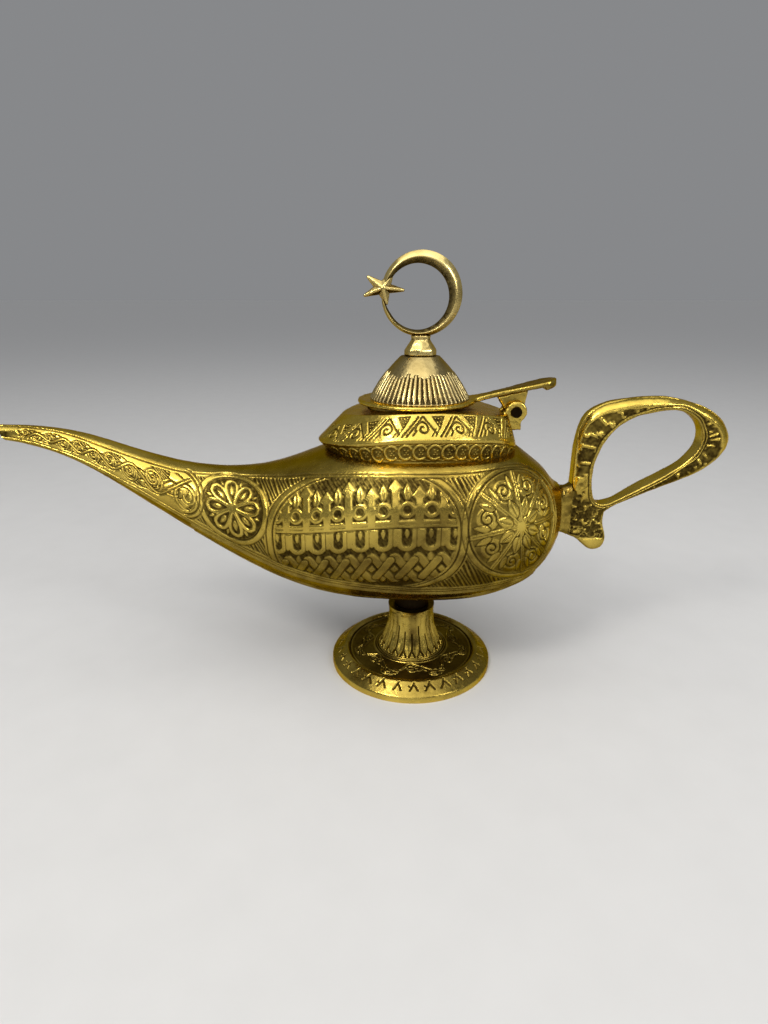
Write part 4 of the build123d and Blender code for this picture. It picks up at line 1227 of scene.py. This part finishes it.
def make_handle():
    """The loop and its leaf, carved on both faces and rounded towards the outer rim."""
    points, faces, n, hollow = remeshed("handle", 0.36, 40)
    relief, to_rim = carve_handle()
    height, rim = (panel.sample(points[:, 0], points[:, 2]) for panel in (relief, to_rim))
    rim = np.clip(rim / 3.4, 0, 1)
    side = rise(np.abs(n[:, 1]), 0.30, 0.4)
    lump = 0.07 * noise(points, 1.4, 41) + 0.16 * noise(points, 5, 42)
    recess = (1 - height) * side
    keep = rise(points[:, 0], HANDLE_FRONT, 0.8)
    points = points + n * ((-HANDLE_RELIEF * recess + lump) * keep)[:, None]
    points[:, 0] = np.maximum(points[:, 0], HANDLE_FRONT)
    points[:, 1] *= 1 - keep * 0.70 * (1 - np.sqrt(1 - (1 - rim) ** 2))
    tarnish_and_shade = np.clip(0.95 - height, 0.02, 0.40) * side + 0.10 * (1 - side)
    recess = np.clip(recess + np.clip(hollow / 0.2, 0, 0.5), 0, 1)
    add_mesh("handle_cast", [(points, recess, tarnish_and_shade, faces)], "base", "handle", ENGRAVED)


# Brass

# Brown for tarnish and for painted shade
TARNISH_AND_SHADE = (0.130, 0.085, 0.018)


def brass(name, bright, mid, dark, patches, smoothness, carved=True, grain=0.35):
    """Cast brass: polished high places, browner metal in patches, and dark patina in the cuts. Carved
    pieces bring their recess and their tarnish, both of which also carry painted shade."""
    material = bpy.data.materials.new(name)
    material.use_nodes = True
    tree = material.node_tree
    tree.nodes.clear()
    new, link = tree.nodes.new, tree.links.new
    out = new("ShaderNodeOutputMaterial")
    shader = new("ShaderNodeBsdfPrincipled")
    place = new("ShaderNodeTexCoord")

    def texture(scale, detail, rough=0.55):
        node = new("ShaderNodeTexNoise")
        for key, value in (("Scale", scale), ("Detail", detail), ("Roughness", rough)):
            node.inputs[key].default_value = value
        link(place.outputs["Object"], node.inputs["Vector"])
        return node.outputs["Fac"]

    def carving(layer):
        node = new("ShaderNodeAttribute")
        node.attribute_name = layer
        return node.outputs["Fac"]

    def remap(value, low, high, to_low, to_high):
        node = new("ShaderNodeMapRange")
        sizes = {"From Min": low, "From Max": high, "To Min": to_low, "To Max": to_high}
        for key, size in sizes.items():
            node.inputs[key].default_value = size
        link(value, node.inputs["Value"])
        return node.outputs["Result"]

    def maths(operation, *values):
        node = new("ShaderNodeMath")
        node.operation = operation
        node.use_clamp = True
        for key, value in enumerate(values):
            link(value, node.inputs[key])
        return node.outputs[0]

    def mix(factor, *colours):
        node = new("ShaderNodeMix")
        node.data_type = "RGBA"
        link(factor, node.inputs["Factor"])
        for socket, colour in zip([s for s in node.inputs if s.type == "RGBA"], colours):
            if isinstance(colour, tuple):
                socket.default_value = (*colour, 1)
            else:
                link(colour, socket)
        return [s for s in node.outputs if s.type == "RGBA"][0]

    cloud = remap(texture(patches, 4), 0.35, 0.65, 0, 1)
    speck = texture(900, 5)
    colour = mix(cloud, bright, mid)
    colour = mix(remap(texture(700, 3), 0.50, 0.74, 0, 0.35), colour, mid)
    depth = remap(texture(95, 3), 0.40, 0.68, 0, 0.28)
    if carved:
        depth = maths("ADD", remap(carving("recess"), 0.12, 0.80, 0, 0.93), depth)
    # Patina in the cuts, and painted shade where the recess holds it, darken and dull the metal
    patina_and_shade = maths("MULTIPLY", depth, remap(speck, 0.2, 0.8, 0.75, 1.1))
    # Tarnish and painted shade from the mesh mix in the brown
    if carved:
        aged_and_shaded = maths("MULTIPLY", carving("tarnish_and_shade"), remap(texture(130, 4), 0.3, 0.7, 0.7, 1.15))
        colour = mix(aged_and_shaded, colour, TARNISH_AND_SHADE)
    link(mix(patina_and_shade, colour, dark), shader.inputs["Base Color"])
    shader.inputs["Metallic"].default_value = 1
    shader.inputs["Specular Tint"].default_value = (0.80, 0.60, 0.28, 1)
    dull = remap(patina_and_shade, 0, 1, smoothness, smoothness + 0.34)
    rough = maths("ADD", dull, remap(speck, 0.3, 0.7, -0.05, 0.10))
    link(rough, shader.inputs["Roughness"])
    bump = new("ShaderNodeBump")
    bump.inputs["Strength"].default_value = grain
    bump.inputs["Distance"].default_value = 0.00012
    link(texture(1500, 4, 0.6), bump.inputs["Height"])
    link(bump.outputs["Normal"], shader.inputs["Normal"])
    link(shader.outputs["BSDF"], out.inputs["Surface"])
    return material


PATINA = (0.030, 0.019, 0.005)
ENGRAVED = brass("engraved_brass", (0.83, 0.62, 0.125), (0.62, 0.44, 0.075), (0.034, 0.021, 0.005), 38, 0.17)
LID = brass("lid_brass", (0.95, 0.80, 0.40), (0.80, 0.62, 0.26), PATINA, 45, 0.20, grain=0.15)
FINIAL = brass("finial_brass", (0.90, 0.72, 0.29), (0.68, 0.51, 0.17), PATINA, 45, 0.20, grain=0.15)
PLAIN = brass("plain_brass", (0.60, 0.43, 0.11), (0.42, 0.28, 0.06), (0.08, 0.05, 0.014), 60, 0.24, False)
# Near-black brass: painted shade for the boss under the body and the hinge pin's hole
PAINTED_SHADE_BRASS = brass("dark_brass", (0.016, 0.010, 0.004), (0.010, 0.006, 0.003), (0.005, 0.003, 0.001), 60, 0.45,
             False)

make_body()
make_collar()
make_foot()
make_dome()
make_crescent()
make_handle()
make_saddle()
# The plate's lever, beyond x = 22, is browned with painted shade
make_cast("plate_cast", "lid_plate", "lid", ENGRAVED, 0.30, 14, 0.09, 0.18, painted_shade_from=22)
make_cast("ferrule_cast", "finial_ferrule", "lid", FINIAL, 0.22, 12, 0.09, 0.12)
make_cast("star_cast", "finial_star", "lid", FINIAL, 0.12, 6, 0.03, 0.34, grow=0.45)
make_cast("lug_cast", "lid_hinge_lug", "lid", ENGRAVED, 0.20, 20, 0.12, 0.45)
make_cast("bracket_cast", "hinge_bracket", "base", ENGRAVED, 0.20, 20, 0.14, 0.16)

# CAD parts that stay are plain brass; the boss, nut and stud under the body and the hinge pin are near-black,
# painted shade of the gap and the hole
for name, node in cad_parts.items():
    node.data.materials.clear()
    node.data.materials.append(PAINTED_SHADE_BRASS if name in ("foot_boss", "foot_nut", "foot_stud", "hinge_pin") else PLAIN)


# Stage: pale floor, grey world, soft lights, camera

def floor_paint():
    """Pale paint with a slight mottle."""
    material = bpy.data.materials.new("floor_paint")
    material.use_nodes = True
    tree = material.node_tree
    shader = tree.nodes["Principled BSDF"]
    place, grain = tree.nodes.new("ShaderNodeTexCoord"), tree.nodes.new("ShaderNodeTexNoise")
    grain.inputs["Scale"].default_value = 60
    ramp = tree.nodes.new("ShaderNodeMapRange")
    ramp.inputs["To Min"].default_value = 0.97
    ramp.inputs["To Max"].default_value = 1.03
    tint = tree.nodes.new("ShaderNodeVectorMath")
    tint.operation = "SCALE"
    tint.inputs[0].default_value = (0.62, 0.62, 0.62)
    tree.links.new(place.outputs["Object"], grain.inputs["Vector"])
    tree.links.new(grain.outputs["Fac"], ramp.inputs["Value"])
    tree.links.new(ramp.outputs["Result"], tint.inputs["Scale"])
    tree.links.new(tint.outputs["Vector"], shader.inputs["Base Color"])
    shader.inputs["Roughness"].default_value = 0.8
    return material


bpy.ops.mesh.primitive_plane_add(size=60, location=(0, 0, -0.00002))
floor = bpy.context.object
floor.name = "floor"
floor.data.materials.append(floor_paint())

world = bpy.data.worlds.new("studio")
bpy.context.scene.world = world
world.use_nodes = True
world.node_tree.nodes["Background"].inputs["Color"].default_value = (0.55, 0.56, 0.58, 1)
world.node_tree.nodes["Background"].inputs["Strength"].default_value = 0.44


def softbox(name, location, target, size, power, colour):
    """A rectangular soft light that faces a target."""
    light = bpy.data.lights.new(name, "AREA")
    light.shape = "RECTANGLE"
    light.size, light.size_y = size
    light.energy = power
    light.color = colour
    lamp = bpy.data.objects.new(name, light)
    bpy.context.scene.collection.objects.link(lamp)
    lamp.location = location
    way = np.array(target) - np.array(location)
    lamp.rotation_euler = (math.atan2(math.hypot(way[0], way[1]), -way[2]), 0, math.atan2(-way[0], way[1]))


softbox("ceiling", (0.0, -0.25, 0.95), (0.0, -0.05, 0.0), (1.2, 1.1), 5.2, (1.0, 0.98, 0.94))
softbox("front", (-0.10, -0.95, 0.42), (0, 0, 0.06), (0.9, 0.34), 1.5, (1.0, 0.98, 0.95))
softbox("key", (-0.34, -0.40, 0.60), (0, 0, 0.06), (0.16, 0.14), 1.7, (1.0, 0.96, 0.90))
softbox("fill", (0.50, -0.42, 0.42), (0, 0, 0.07), (0.14, 0.30), 1.4, (1.0, 0.98, 0.95))
sun = bpy.data.lights.new("sky", "SUN")
sun.energy, sun.angle = 0.55, math.radians(60)
sky = bpy.data.objects.new("sky", sun)
bpy.context.scene.collection.objects.link(sky)
sky.rotation_euler = (math.radians(28), math.radians(-12), 0)

# The photo's camera: pitch in degrees, and focal length in pixels of a picture 1024 high
PITCH, FOCAL, PICTURE_HEIGHT, SENSOR = 19.7, 600, 1024, 36
camera = bpy.data.objects.new("camera", bpy.data.cameras.new("camera"))
bpy.context.scene.collection.objects.link(camera)
camera.location = (-0.010944, -0.215, 0.140)
camera.rotation_euler = (math.radians(90 - PITCH), 0, 0)
camera.data.sensor_width = SENSOR
camera.data.lens = FOCAL * SENSOR / PICTURE_HEIGHT
camera.data.clip_start = 0.01
bpy.context.scene.camera = camera
bpy.context.scene.view_settings.view_transform = "Standard"
